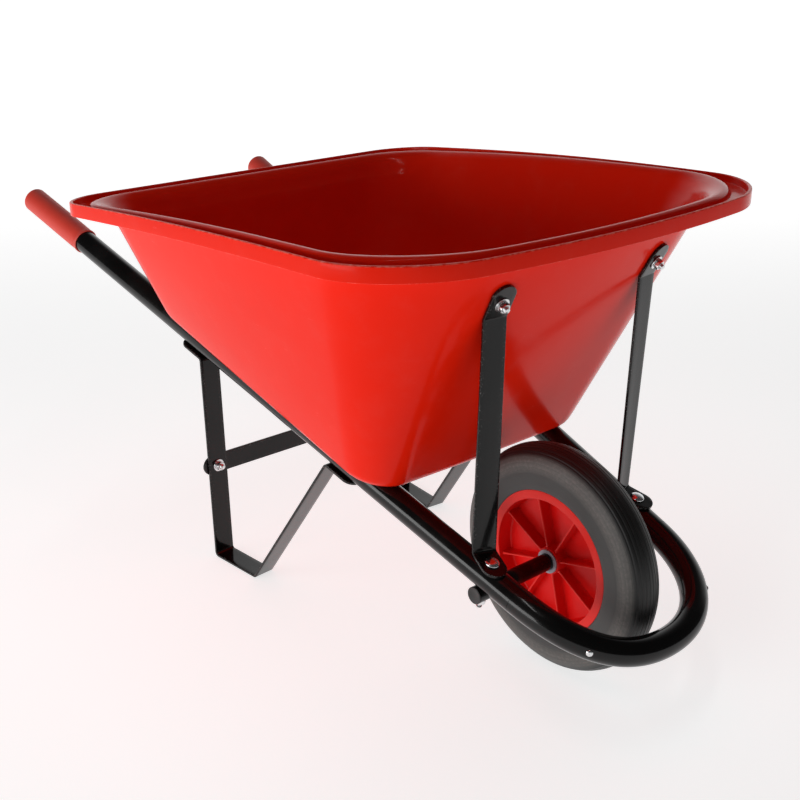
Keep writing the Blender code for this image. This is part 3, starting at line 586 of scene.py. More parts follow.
# %% Bend the legs
tray_bolts = {}
for label, side in SIDES:
    for where in ("front", "rear"):
        low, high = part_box("tray_nut_" + where + "_" + label)
        tray_bolts[where, label] = (low + high) / 2.0
UNDER = -(TUBE_R + GAP + STRAP_T / 2.0)
NUT_H = 0.0065
nut_sink = (TUBE_R + GAP + STRAP_T + GAP + NUT_H / 2.0) * math.tan(SLOPE)
FRONT_S = reach_at(tray_bolts["front", "right"].x) - nut_sink
REAR_S = reach_at(tray_bolts["rear", "right"].x) - nut_sink
uprights = {}
for label, side in SIDES:
    def under_tube(x, z):
        p = on_tube(reach_at(x), side)
        return Vector((p.x, p.y, z))

    rear_x = on_tube(REAR_S, side).x + 0.030
    front_x = on_tube(FRONT_S, side).x - 0.030
    top_rear = on_tube(reach_at(rear_x), side, UNDER)
    top_front = on_tube(reach_at(front_x), side, UNDER)
    heel = under_tube(rear_x + 0.004, STRAP_T / 2.0)
    toe = under_tube(rear_x + 0.105, STRAP_T / 2.0)
    bends = [on_tube(reach_at(rear_x) + 0.056, side, UNDER), top_rear, heel, toe, top_front]
    bends.append(on_tube(reach_at(front_x) - 0.056, side, UNDER))
    leg = flat_bar("leg_strap_" + label, bends, [across_tube(side)] * 6, gloss_black)
    settle(leg, "frame", "black_paint", "leg_" + label)
    uprights[label] = (top_rear, heel)
print("bolts at", round(FRONT_S, 4), round(REAR_S, 4))
print("leg from", [round(c, 3) for c in uprights["right"][0]])

# %% [markdown]
# ## Cross brace
# A shorter bar ties the two uprights together behind them. Each end lies flat on its upright, so
# it has two slight folds. The washer and the nut on the solid parts say where each bolt is and
# which way it points, because both are round about the bolt.

# %% Fold the brace
def middle(node):
    low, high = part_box(node)
    return (low + high) / 2.0


WASHER_T = 0.0016
brace_ends = {}
for label, side in SIDES:
    nut_mid = middle("brace_nut_" + label)
    washer_mid = middle("brace_washer_" + label)
    aim = (nut_mid - washer_mid).normalized()
    leg_face = washer_mid - aim * (WASHER_T / 2.0 + GAP)
    brace_ends[label] = (leg_face - aim * (STRAP_T * 1.5 + GAP), aim, across_tube(side))
(cr, aim_r, across_r), (cl, aim_l, across_l) = brace_ends["right"], brace_ends["left"]
tall_r = across_r.cross(aim_r)
tall_l = across_l.cross(aim_l)
folds = [cr - across_r * 0.024, cr + across_r * 0.0235, cl - across_l * 0.0235, cl + across_l * 0.024]
across_both = [tall_r, tall_r, tall_l, tall_l]
brace = flat_bar("leg_brace_bar", folds, across_both, gloss_black, STRAP_W - 0.003, 0.020)
settle(brace, "frame", "black_paint", "leg_brace")
print("brace ends", [round(c, 3) for c in cr], [round(c, 3) for c in cl])

# %% [markdown]
# ## Front stays
# A stay is a bar with a fold near each end. The lower tab lies on the handle tube over the axle,
# turned a little inwards, and the upper tab lies on the sloping front wall of the tray.

# %% Fold the stays
STAY_TURN = math.radians(16.0)
stay_tops = {}
for label, side in SIDES:
    low = on_tube(0.0, side, TUBE_R + GAP + STRAP_T / 2.0)
    turn = Matrix.Rotation(side * STAY_TURN, 3, UP_N)
    w_low = turn @ Vector((0.0, 1.0, 0.0))
    t_low = turn @ Vector((-COS_S, 0.0, SIN_S))
    nut_mid = middle("stay_nut_" + label)
    washer_mid = middle("stay_washer_" + label)
    normal = (nut_mid - washer_mid).normalized()
    mid = washer_mid - normal * (WASHER_T / 2.0 + GAP + STRAP_T / 2.0)
    up = (Vector((0.0, 0.0, 1.0)) - normal * normal.z).normalized()
    w_top = normal.cross(up)
    w_top = w_top if w_top.y > 0.0 else -w_top
    folds = [low - t_low * 0.024, low + t_low * 0.024, mid - up * 0.024, mid + up * 0.028]
    stay = flat_bar("front_stay_" + label, folds, [w_low, w_low, w_top, w_top], gloss_black)
    settle(stay, "frame", "black_paint", "stay_" + label)
    stay_tops[label] = (mid, normal)
print("stay top at", [round(c, 3) for c in stay_tops["right"][0]])
print("stay top facing", [round(c, 2) for c in stay_tops["right"][1]])

# %% [markdown]
# ## Axle tube and its end plugs
# The axle is a smaller tube laid across under both handle tubes. Its open ends are closed with
# black plastic plugs, each a thin round cap with a softened edge.

# %% Satin black plastic
satin_black = Finish("satin black plastic", IOR=1.46)
grain = satin_black.noise(satin_black.place, 1800.0, 2.0)
haze = satin_black.noise(satin_black.place, 60.0, 4.0)
satin_black.wear(satin_black.mix(haze, (0.012, 0.012, 0.012), (0.026, 0.025, 0.025)), 0.34 + haze * 0.16)
satin_black.relief((grain, 0.0001, 0.25))
print(satin_black.material.name, "ready")

# %% Turn the axle and the plugs
PLUG_T, PLUG_L = 0.0015, 0.009
SOFT = 0.0009
axle_end = AXLE_HALF_L - PLUG_T - GAP
axle_mid = (AXLE_X, 0.0, TYRE_R)
r, w = AXLE_R, AXLE_R - AXLE_WALL
ring = rounded_corners([(r, -axle_end, 0), (r, axle_end, 0), (w, axle_end, 0), (w, -axle_end, 0)], 0.0004)
verts, faces = turned(axle_mid, (0, 1, 0), [p[:2] for p in ring], 64, closed=True)
axle = piece("axle_bar", verts, faces, gloss_black, 60.0)
settle(axle, "frame", "black_paint", "axle_tube")
for label, side in SIDES:
    base = Vector((AXLE_X, side * (AXLE_HALF_L - PLUG_T - PLUG_L), TYRE_R))
    inner = AXLE_R - AXLE_WALL - GAP
    profile = [(inner - 0.0010, 0.0), (inner, 0.0010), (inner, PLUG_L), (AXLE_R - 0.0002, PLUG_L)]
    for k in range(7):
        a = math.radians(15.0 * k)
        profile.append((AXLE_R - SOFT + SOFT * math.cos(a), PLUG_L + PLUG_T - SOFT + SOFT * math.sin(a)))
    profile += [(AXLE_R - 0.0030, PLUG_L + PLUG_T), (AXLE_R - 0.0036, PLUG_L + PLUG_T - 0.0003)]
    profile += [(0.0010, PLUG_L + PLUG_T - 0.0003)]
    verts, faces = turned(base, (0.0, side, 0.0), profile, 56)
    plug = piece("axle_end_plug_" + label, verts, faces, satin_black, 45.0)
    settle(plug, "frame", "black_plastic", "axle_plug_" + label)

# %% [markdown]
# ## Grips
# The grips are soft red vinyl sleeves pushed over the tube ends. They are almost plain: a slightly
# thicker lip at the mouth, a rounded closed end and the faint matte grain of dipped vinyl, with
# a paler scuff where the hand and the ground rub them.

# %% Matte red vinyl
matte_vinyl = Finish("matte red vinyl", IOR=1.45, Sheen_Weight=0.15, Sheen_Roughness=0.4)
grain = matte_vinyl.noise(matte_vinyl.place, 1500.0, 3.0, 0.6)
cloud = matte_vinyl.noise(matte_vinyl.place, 26.0, 4.0, 0.6)
rubbed = matte_vinyl.noise(matte_vinyl.stretched(60.0, 60.0, 240.0), 1.0, 5.0, 0.7)
scuff = matte_vinyl.ease(rubbed, 0.58, 0.74)
skin = matte_vinyl.mix(cloud, (0.62, 0.034, 0.018), (0.74, 0.056, 0.032))
skin = matte_vinyl.mix(scuff * 0.35 + matte_vinyl.painted("rub") * 0.35, skin, (0.62, 0.16, 0.13))
matte_vinyl.wear(skin, 0.46 + cloud * 0.10 + scuff * 0.10)
matte_vinyl.relief((cloud, 0.0006, 0.15), (grain, 0.00012, 0.35))
print(matte_vinyl.material.name, "ready")

# %% Turn the grips
GRIP_L, GRIP_R, GRIP_END = 0.165, TUBE_R + 0.0024, 0.004
for label, side in SIDES:
    mouth = on_tube(TUBE_REAR - GRIP_L, side)
    full = (on_tube(TUBE_REAR, side) - mouth).length + GAP + GRIP_END
    bore = TUBE_R + GAP
    profile = [(bore, 0.0020), (bore, 0.0004), (bore + 0.0004, 0.0), (GRIP_R - 0.0005, 0.0), (GRIP_R, 0.0006)]
    profile += [(GRIP_R, 0.0034), (GRIP_R - 0.0004, 0.0046), (GRIP_R - 0.0006, 0.0070)]
    profile += [(GRIP_R - 0.0003, full * t) for t in (0.15, 0.4, 0.65, 0.85)]
    for k in range(13):
        a = math.radians(90.0 * k / 12.0)
        profile.append((GRIP_R - 0.0095 + 0.0092 * math.cos(a), full - 0.0072 + 0.0072 * math.sin(a)))
    profile += [(GRIP_R * 0.30, full), (0.0012, full)]
    rub = []
    for radius, h in profile:
        rub.extend([1.0 if h < 0.001 or h > full - 0.003 else 0.0] * 72)
    verts, faces = turned(mouth, along_tube(side), profile, 72)
    grip = piece("hand_grip_" + label, verts, faces, matte_vinyl, 60.0, rub)
    settle(grip, "frame", "grip_red", "grip_" + label)

# %% [markdown]
# ## The wheel's rim
# The rim is moulded in red plastic: a short hub, a thin web, and a deep outer ring with a flat
# flange that holds the tyre. All of that is one profile turned about the axle. A mould needs
# rounded corners and a little slope on its walls, and so does the profile.

# %% Red rim plastic
rim_red = Finish("red rim plastic", IOR=1.42, Specular_IOR_Level=0.2)
grain = rim_red.noise(rim_red.place, 1300.0, 2.0)
flow = rim_red.noise(rim_red.place, 30.0, 3.0)
dust = rim_red.ease(rim_red.noise(rim_red.place, 75.0, 5.0, 0.65), 0.52, 0.78)
skin = rim_red.mix(flow, (0.62, 0.004, 0.004), (0.78, 0.009, 0.007))
skin = rim_red.mix(dust * 0.08, skin, (0.55, 0.16, 0.13))
skin = rim_red.mix(rim_red.painted("rub") * 0.25, skin, (0.85, 0.09, 0.07))
rim_red.wear(skin, 0.26 + flow * 0.08 + dust * 0.16)
rim_red.relief((flow, 0.0008, 0.12), (grain, 0.00008, 0.22))
print(rim_red.material.name, "ready")

# %% Turn the rim
RIM_R, RIM_INNER_R, RIM_HALF_W = 0.104, 0.0915, 0.027
WEB_T, HUB_HALF_W = 0.004, 0.022
BUSH_R = AXLE_R + 0.00009 + 0.003
HUB_BORE = BUSH_R + GAP
HUB_R = HUB_BORE + 0.00361
SEAT_R, FLANGE_IN = RIM_R - 0.004, RIM_HALF_W - 0.004
corners = [
    (HUB_BORE, HUB_HALF_W, 0.0004), (HUB_R, HUB_HALF_W, 0.0012), (HUB_R + 0.0018, WEB_T, 0.0035),
    (RIM_INNER_R - 0.0015, WEB_T, 0.0040), (RIM_INNER_R, RIM_HALF_W, 0.0012),
    (RIM_R, RIM_HALF_W, 0.0010), (RIM_R, FLANGE_IN, 0.0003), (SEAT_R, FLANGE_IN, 0.0006),
]
both = corners + [(r, -y, soft) for r, y, soft in corners[::-1]]
profile = rounded_corners([p[:2] for p in both], [p[2] for p in both], 5)
verts, faces = turned(axle_mid, (0, 1, 0), profile, 128, closed=True)
rub = []
for r, y in profile:
    rub.extend([1.0 if r > RIM_INNER_R - 0.0004 and abs(y) > RIM_HALF_W - 0.0006 else 0.0] * 128)
rim = piece("rim_hub_web_and_flange", verts, faces, rim_red, 45.0, rub)
settle(rim, "wheel", "rim_red", "wheel_rim")

# %% [markdown]
# ## The ribs
# Eight thin ribs stiffen each side of the web. One rib is drawn, with sloping walls, a rounded top
# and a small fillet where it meets the web, and a recipe repeats it round the axle.

# %% Recipe two: repeat round the axle
round_recipe = Recipe("repeat round an axle", Count="Int", Phase="Float", Centre="Vector", Finish="Material")
spots = round_recipe.node("GeometryNodePoints", {}, {"Count": round_recipe.given["Count"]})["Points"]
index = round_recipe.node("GeometryNodeInputIndex")["Index"]
angle = 0.0 - (index * (2.0 * math.pi) / round_recipe.given["Count"] + round_recipe.given["Phase"])
euler = round_recipe.node("ShaderNodeCombineXYZ", {}, {"Y": angle})["Vector"]
turn = round_recipe.node("FunctionNodeEulerToRotation", {}, {"Euler": euler})["Rotation"]
copies = {"Points": spots, "Instance": round_recipe.given["Geometry"], "Rotation": turn}
ring = round_recipe.node("GeometryNodeInstanceOnPoints", {}, copies)["Instances"]
moved = {"Geometry": ring, "Translation": round_recipe.given["Centre"]}
round_recipe.ends_with(round_recipe.node("GeometryNodeTransform", {}, moved)["Geometry"])


# %% Draw one rib
def rib_mesh(steps=14):
    """A rib through the web, from the hub to the outer ring, standing on +X."""
    r0, r1 = HUB_R - 0.0012, RIM_INNER_R + 0.0010
    verts, rub = [], []
    heights = [-1.0, -0.985, -0.95, -0.90, -0.70, -0.45, -0.30, -0.24, -0.20]
    heights += [-h for h in heights[::-1]]
    for i in range(steps + 1):
        f = i / steps
        r = r0 + (r1 - r0) * f
        top = (HUB_HALF_W - 0.003) * (1.0 - f) + (RIM_HALF_W - 0.006) * f
        ends = max(math.exp(-f * 24.0), math.exp((f - 1.0) * 24.0)) * 0.0016
        loop_pts = []
        for h in heights:
            y = h * top
            inset = max(0.0, abs(y) - (top - 0.0011))
            w = 0.0012 + 0.0005 * (1.0 - abs(h)) - (0.0011 - math.sqrt(max(0.0, 0.0011 ** 2 - inset ** 2)))
            w += 0.0014 * math.exp(-max(0.0, abs(y) - WEB_T) / 0.0012) + ends
            loop_pts.append((r, y, w, abs(h) > 0.94))
        for r_, y, w, edge in loop_pts:
            verts.append((r_, y, w))
            rub.append(1.0 if edge else 0.0)
        for r_, y, w, edge in loop_pts[::-1]:
            verts.append((r_, y, -w))
            rub.append(1.0 if edge else 0.0)
    mesh = bpy.data.meshes.new("rib")
    mesh.from_pydata(verts, [], joined_rings(steps + 1, 2 * len(heights), False))
    mesh.attributes.new("rub", "FLOAT", "POINT").data.foreach_set("value", np.array(rub, np.float32))
    return mesh


ribs = round_recipe.run("rim_ribs", rib_mesh(), 50.0, Count=8, Phase=math.radians(16.0), Centre=axle_mid,
                        Finish=rim_red.material)
settle(ribs, "wheel", "rim_red", "wheel_rim")

# %% [markdown]
# ## The tyre
# The tyre is a solid rubber ring. Its side is smooth and dusty grey, the shoulder is scuffed along
# the way it rolls, and the tread has fine grooves round it. The grooves are cut into the turned
# profile, and the finer scratches follow the distance from the axle in the material.

# %% Tyre rubber
rubber = Finish("tyre rubber", IOR=1.5, Sheen_Weight=0.05, Sheen_Roughness=0.5)
centred = {0: rubber.place, 1: axle_mid}
centred = rubber.node("ShaderNodeVectorMath", {"operation": "SUBTRACT"}, centred)["Vector"]
parts = rubber.node("ShaderNodeSeparateXYZ", {}, {0: centred})
radius = (parts["X"] * parts["X"] + parts["Z"] * parts["Z"]) ** 0.5
across = parts["Y"]
FINE = 900.0
rolled = {"X": radius * FINE, "Y": across * FINE, "Z": 0.0}
rolled = rubber.node("ShaderNodeCombineXYZ", {}, rolled)["Vector"]
streak = rubber.noise(rolled, 1.0, 4.0, 0.65)
spotty = rubber.noise(rubber.place, 210.0, 5.0, 0.65)
grain = rubber.noise(rubber.place, 1500.0, 3.0, 0.6)
cloud = rubber.noise(rubber.place, 16.0, 4.0, 0.6)
SIDE_R, SHOULDER_R = RIM_R + 0.025, RIM_R + 0.040
shoulder = rubber.ease(radius, SIDE_R - 0.003, SIDE_R + 0.008)
shoulder = shoulder * rubber.ease(radius, SHOULDER_R + 0.012, SHOULDER_R + 0.004)
tread = rubber.ease(radius, SHOULDER_R + 0.004, SHOULDER_R + 0.012)
scuffs = shoulder * rubber.ease(streak * 0.6 + spotty * 0.4, 0.44, 0.62)
skin = rubber.mix(cloud, (0.030, 0.030, 0.029), (0.044, 0.044, 0.042))
skin = rubber.mix(tread * 0.97, skin, (0.0022, 0.0020, 0.0020))
skin = rubber.mix(shoulder * 0.30 + scuffs * 0.50, skin, (0.150, 0.138, 0.126))
skin = rubber.mix(tread * rubber.ease(streak, 0.55, 0.72) * 0.30, skin, (0.05, 0.046, 0.042))
rubber.wear(skin, 0.50 + cloud * 0.08 + scuffs * 0.14 - tread * 0.10)
rubber.relief((streak, 0.0004, 0.30), (grain, 0.00015, 0.28))
print(rubber.material.name, "nodes:", len(rubber.tree.nodes))


# %% A smooth line through points
def smooth_line(points, per=6):
    """Catmull-Rom curve through the points, with per steps between neighbours."""
    pts = [np.array(p, float) for p in points]
    pts = [2 * pts[0] - pts[1]] + pts + [2 * pts[-1] - pts[-2]]
    out = []
    for i in range(1, len(pts) - 2):
        a, b, c, d = pts[i - 1:i + 3]
        for k in range(per):
            t = k / per
            square = (2 * a - 5 * b + 4 * c - d) * t ** 2
            cube = (3 * b - a - 3 * c + d) * t ** 3
            out.append(0.5 * (2 * b + (c - a) * t + square + cube))
    out.append(pts[-2])
    return [tuple(p) for p in out]


# %% Turn the tyre
TYRE_HALF_W = 0.0297
shares = [(0.05, 0.057), (0.16, 0.020), (0.39, 0.0), (0.61, 0.027), (0.75, 0.118), (0.87, 0.286)]
shares += [(0.943, 0.505), (0.984, 0.741), (1.0, 0.90)]
side_line = [(RIM_R + (TYRE_R - RIM_R) * up, TYRE_HALF_W * (1.0 - lost)) for up, lost in shares]
outside = smooth_line(side_line + [(r, -y) for r, y in side_line[::-1]], 14)
GROOVES = [-0.0215, -0.0165, -0.0110, -0.0055, 0.0, 0.0055, 0.0110, 0.0165, 0.0215]


def grooved(r, y):
    """Tread grooves cut straight in, and one fine moulded line round each side."""
    cut = 0.0
    if r > SHOULDER_R + 0.004:
        cut = max(0.0008 * max(0.0, 1.0 - (abs(y - g) / 0.0009) ** 2) for g in GROOVES)
    near = math.exp(-((r - SIDE_R) / 0.0005) ** 2) * 0.0003
    return (min(r, TYRE_R) - cut, y - math.copysign(near, y))


profile = [(RIM_R + GAP, FLANGE_IN - GAP), (RIM_R + GAP, RIM_HALF_W - 0.0002)]
profile += [(RIM_R + 0.0014, RIM_HALF_W + 0.0004)]
profile += [grooved(r, y) for r, y in outside]
profile += [(r, -y) for r, y in profile[2::-1]]
profile += [(SEAT_R + GAP, -(FLANGE_IN - GAP)), (SEAT_R + GAP, FLANGE_IN - GAP)]
verts, faces = turned(axle_mid, (0, 1, 0), profile, 160, closed=True)
tyre = piece("tyre_ring", verts, faces, rubber, 50.0)
settle(tyre, "wheel", "tyre_rubber", "tyre")

# %% [markdown]
# ## Hub bushes
# A short nylon bush is pressed into each end of the hub and runs on the axle. Only its flange
# shows. Nylon is a cool grey, slightly see-through and waxy, with turning marks on the face.

# %% Turn the bushes
nylon = Finish("grey nylon", IOR=1.52, Subsurface_Weight=0.05, Subsurface_Radius=(0.002, 0.002, 0.002))
grain = nylon.noise(nylon.place, 900.0, 3.0)
grease = nylon.ease(nylon.noise(nylon.place, 160.0, 4.0, 0.6), 0.50, 0.70)
nylon.wear(nylon.mix(grease, (0.33, 0.31, 0.36), (0.16, 0.15, 0.16)), 0.36 + grain * 0.16)
nylon.relief((grain, 0.0001, 0.3))
for label, side in SIDES:
    bore, face = AXLE_R + 0.00009, HUB_HALF_W + GAP
    corners = [(bore, 0.002, 0.0), (BUSH_R, 0.002, 0.0), (BUSH_R, face, 0.0), (BUSH_R + 0.0020, face, 0.0002)]
    corners += [(BUSH_R + 0.0020, face + 0.002, 0.0007), (bore, face + 0.002, 0.0004)]
    outline = rounded_corners([(r, side * y) for r, y, _ in corners], [c[2] for c in corners], 4)
    verts, faces = turned(axle_mid, (0, 1, 0), outline, 64, closed=True)
    bush = piece("hub_bush_ring_" + label, verts, faces, nylon, 45.0)
    settle(bush, "wheel", "bush_nylon", "hub_bush_" + label)

# %% [markdown]
# ## The tray
# The tray is one moulded shell, and its shape follows a rule. Three rounded outlines set it: the
# outer edge of the rim, the top of the wall under it, and the floor. Between them runs a section:
# up from the floor, round the bend, up the sloping wall, out under the lip, round an upstanding
# band, back over a gutter and a rounded shoulder, and down the inside. Every outline has the same
# count of points, so a point of the section slides along the line between two outlines.

# %% Rounded outlines seen from above
TRAY_REAR_X, TRAY_FRONT_X = AXLE_X - 0.742, AXLE_X + 0.092
FLOOR_REAR_X, FLOOR_FRONT_X = AXLE_X - 0.668, AXLE_X - 0.150
LIP_IN, SIDE_BOW = 0.046, 0.007
SHELL_T, FLOOR_BEND = 0.004, 0.022


def corner_arc(corner, d_in, d_out, radius, count):
    half = d_in.angle(d_out) / 2.0
    a = corner + d_in * (radius / math.tan(half))
    b = corner + d_out * (radius / math.tan(half))
    mid = corner + (d_in + d_out).normalized() * (radius / math.sin(half))
    start = math.atan2(a.y - mid.y, a.x - mid.x)
    stop = math.atan2(b.y - mid.y, b.x - mid.x)
    stop = stop + 2.0 * math.pi if stop < start else stop
    turns = [start + (stop - start) * i / count for i in range(count + 1)]
    return [mid + Vector((math.cos(t), math.sin(t))) * radius for t in turns]


def outline(x_rear, x_front, w_rear, w_front, r_rear, r_front, bow_front, bow_side):
    """Half an outline, mirrored; the front edge bows forward and the sides bow out."""
    rear, front = Vector((x_rear, w_rear)), Vector((x_front, w_front))
    edge = (rear - front).normalized()
    fc = corner_arc(front, Vector((0.0, -1.0)), edge, r_front, 28)
    rc = corner_arc(rear, -edge, Vector((0.0, -1.0)), r_rear, 24)
    pts = [Vector((x_front, 0.0)).lerp(fc[0], i / 14.0) for i in range(14)] + fc
    pts += [fc[-1].lerp(rc[0], i / 18.0) for i in range(1, 18)] + rc
    pts += [rc[-1].lerp(Vector((x_rear, 0.0)), i / 12.0) for i in range(1, 12)]
    pts.append(Vector((x_rear, 0.0)))
    mid_x, half_x = (x_rear + x_front) / 2.0, (x_front - x_rear) / 2.0
    done = []
    for p in pts:
        u = max(-1.0, min(1.0, (p.x - mid_x) / half_x))
        x = p.x - bow_front * p.y * p.y * max(0.0, u) ** 2
        done.append((x, p.y * (1.0 + bow_side * (1.0 - u * u) / max(w_rear, w_front))))
    return np.array(done + [(x, -y) for x, y in done[-2:0:-1]])


floor_half_rear = SPREAD_AT_AXLE + SPREAD_RATE * reach_at(FLOOR_REAR_X) + 0.033
floor_half_front = SPREAD_AT_AXLE + SPREAD_RATE * reach_at(FLOOR_FRONT_X) + 0.049
HALF_REAR, HALF_FRONT = 0.350, 0.362
EDGE_P = outline(TRAY_REAR_X, TRAY_FRONT_X, HALF_REAR, HALF_FRONT, 0.080, 0.130, 0.31, SIDE_BOW)
WALL_P = outline(TRAY_REAR_X + 0.050, TRAY_FRONT_X - LIP_IN, HALF_REAR - LIP_IN, HALF_FRONT - LIP_IN,
                 0.095, 0.145, 0.48, SIDE_BOW)
FLOOR_P = outline(FLOOR_REAR_X, FLOOR_FRONT_X, floor_half_rear, floor_half_front, 0.062, 0.060, 0.06, 0.001)
print("points round the tray:", len(EDGE_P))
print("floor half widths", round(floor_half_rear, 3), round(floor_half_front, 3))


# %% Heights of the rim and the floor
def rim_z(x):
    f = np.clip((x - TRAY_REAR_X) / (TRAY_FRONT_X - TRAY_REAR_X), 0.0, 1.0)
    return TYRE_R + 0.4230 + 0.0603 * f + 0.009 * np.sin(np.pi * f)


FLOOR_C = on_tube(0.0, 1.0).dot(UP_N) + TUBE_R + GAP


def floor_z(x):
    return (FLOOR_C - x * SIN_S) / COS_S


def ring3(xy, z):
    return np.column_stack([xy, np.broadcast_to(z, (len(xy),))])


def lip_ring(d, h):
    """Ring d inside the rim's edge and h above it."""
    return ring3(EDGE_P + (WALL_P - EDGE_P) * (d / LIP_IN), rim_z(EDGE_P[:, 0]) + h)


def inward(xy):
    """Unit vectors pointing into the tray, from one point of an outline to the next."""
    along = np.roll(xy, -1, axis=0) - np.roll(xy, 1, axis=0)
    inn = np.column_stack([-along[:, 1], along[:, 0]])
    inn /= np.linalg.norm(inn, axis=1)[:, None]
    return -inn if ((xy.mean(axis=0) - xy) * inn).sum() < 0.0 else inn


def round_the_bend(lift, shrink, top, radius, count=9):
    """Rings from the flat floor round the bend to the foot of the wall."""
    inn = inward(FLOOR_P)
    corner_xy = FLOOR_P + inn * shrink
    flat_xy = FLOOR_P + inn * (FLOOR_BEND + shrink)
    corner = ring3(corner_xy, floor_z(corner_xy[:, 0]) + lift)
    flat = ring3(flat_xy, floor_z(flat_xy[:, 0]) + lift)
    rise = top - corner
    up = corner + rise / np.linalg.norm(rise, axis=1)[:, None] * radius
    ts = [i / count for i in range(count + 1)]
    return [flat * (1 - t) ** 2 + corner * (2 * t * (1 - t)) + up * t ** 2 for t in ts]


# %% Stack the rings
UNDER = [(0.0425, -0.0262), (0.0400, -0.0175), (0.0360, -0.0092), (0.0307, -0.0052), (0.0260, -0.0038)]
UNDER += [(0.0235, -0.0056), (0.0222, -0.0112), (0.0185, -0.0146), (0.0120, -0.0146), (0.0060, -0.0146)]
BAND = [(0.0040, -0.0150, 0.0006), (0.0036, -0.0200, 0.0007), (0.0, -0.0200, 0.0008), (0.0, 0.0, 0.0016)]
BAND += [(0.0034, 0.0, 0.0014), (0.0036, -0.0108, 0.0016)]
UPPER = [(0.0060, -0.0110), (0.0110, -0.0112), (0.0165, -0.0108), (0.0187, -0.0088), (0.0202, -0.0030)]
UPPER += [(0.0222, -0.0008), (0.0260, 0.0002), (0.0322, -0.0016), (0.0388, -0.0066)]
UPPER += [(0.0436, -0.0155), (0.0468, -0.0250)]
wall_top = lip_ring(LIP_IN, -0.034)
wall_top_in = lip_ring(LIP_IN + SHELL_T * 1.12, -0.034)
outer = round_the_bend(0.0, 0.0, wall_top, FLOOR_BEND)
inner = round_the_bend(SHELL_T / COS_S, SHELL_T * 0.98, wall_top_in, FLOOR_BEND - 0.001)
rings, rub = [], []


def stack(new_rings, edge_mark=0.0):
    for ring in new_rings:
        rings.append(ring)
        rub.extend([edge_mark] * len(ring))


stack(outer)
stack([outer[-1] + (wall_top - outer[-1]) * t for t in (0.2, 0.4, 0.6, 0.8, 0.93)])
under_line = smooth_line([(LIP_IN, -0.034)] + UNDER, 4)
stack([lip_ring(d, h) for d, h in under_line])
soft = rounded_corners([UNDER[-1]] + [b[:2] for b in BAND] + [UPPER[0]], [0] + [b[2] for b in BAND] + [0], 4)
# The top and bottom edges of the band carry rub: the tray finish paints pale highlight lines there, with a
# little wear.
for d, h in soft[1:-1]:
    stack([lip_ring(d, h)], 1.0 if h > -0.0012 or h < -0.0192 else 0.0)
stack([lip_ring(d, h) for d, h in smooth_line(UPPER + [(LIP_IN + SHELL_T * 1.12, -0.034)], 4)])
stack([wall_top_in + (inner[-1] - wall_top_in) * t for t in (0.07, 0.2, 0.4, 0.6, 0.8)])
stack(inner[::-1])
print("rings in the tray:", len(rings))

# %% [markdown]
# ## Tray red
# The tray is gloss moulded plastic, orange-red where light falls on it. A big thin moulding cools
# unevenly, so its reflections drift: that is a very slow, shallow bump. On top come faint flow
# streaks, a fine skin texture, a little dust that dulls the gloss, hair scratches, and pale lines
# on the top and bottom edges of the band: painted highlights, with a little wear.

# %% Gloss tray red
tray_red = Finish("gloss tray red", IOR=1.38, Coat_Weight=0.03, Coat_Roughness=0.05, Specular_IOR_Level=0.08)
drift = tray_red.noise(tray_red.place, 7.0, 2.0)
cloud = tray_red.noise(tray_red.place, 3.2, 3.0, 0.5)
skin_bump = tray_red.noise(tray_red.place, 700.0, 2.0)
dust = tray_red.ease(tray_red.noise(tray_red.place, 24.0, 6.0, 0.65), 0.45, 0.80)
hair = tray_red.noise(tray_red.stretched(26.0, 420.0, 300.0), 1.0, 4.0, 0.7)
hair = tray_red.ease(hair, 0.60, 0.70)
# Pale band edges: painted highlight lines on the band's top and bottom edges, with a little wear mixed in.
edge_mark = tray_red.painted("rub") * tray_red.ease(tray_red.noise(tray_red.place, 130.0, 4.0, 0.6), 0.35, 0.65)
skin = tray_red.mix(cloud, (0.800, 0.0120, 0.0022), (0.900, 0.0200, 0.0042))
skin = tray_red.mix(dust * 0.025, skin, (0.80, 0.30, 0.26))
skin = tray_red.mix(edge_mark * 0.45, skin, (0.95, 0.24, 0.18))
tray_red.wear(skin, 0.15 + dust * 0.10 + hair * 0.10 + edge_mark * 0.12)
tray_red.relief((drift, 0.0035, 0.30), (hair, 0.0001, 0.12), (skin_bump, 0.00006, 0.16))
verts = [tuple(p) for ring in rings for p in ring]
tray = piece("tray_shell", verts, joined_rings(len(rings), len(EDGE_P), False), tray_red, 40.0, rub)
settle(tray, "frame", "tray_red", "tray")

# %% [markdown]
# ## Bolts, nuts, washers and rivets
# Cup-head bolts hold the barrow together: ten of them, each with a nut, four with a washer, and two
# small rivets in the loop. Each kind is drawn once, standing on +Z, and a recipe puts one on every
# point and turns it to that point's own direction. A second number twists each nut differently,
# because nobody tightens ten nuts to the same angle.

# %% Bright zinc
zinc = Finish("bright zinc plate", Metallic=1.0, IOR=1.5)
cast = zinc.noise(zinc.place, 240.0, 3.0)
spots = zinc.ease(zinc.noise(zinc.place, 520.0, 5.0, 0.7), 0.55, 0.75)
plate = zinc.mix(cast, (0.66, 0.68, 0.72), (0.86, 0.86, 0.84))
zinc.wear(zinc.mix(spots * 0.5, plate, (0.32, 0.31, 0.30)), 0.16 + cast * 0.12 + spots * 0.25)
zinc.relief((cast, 0.0002, 0.25))
print(zinc.material.name, "ready")

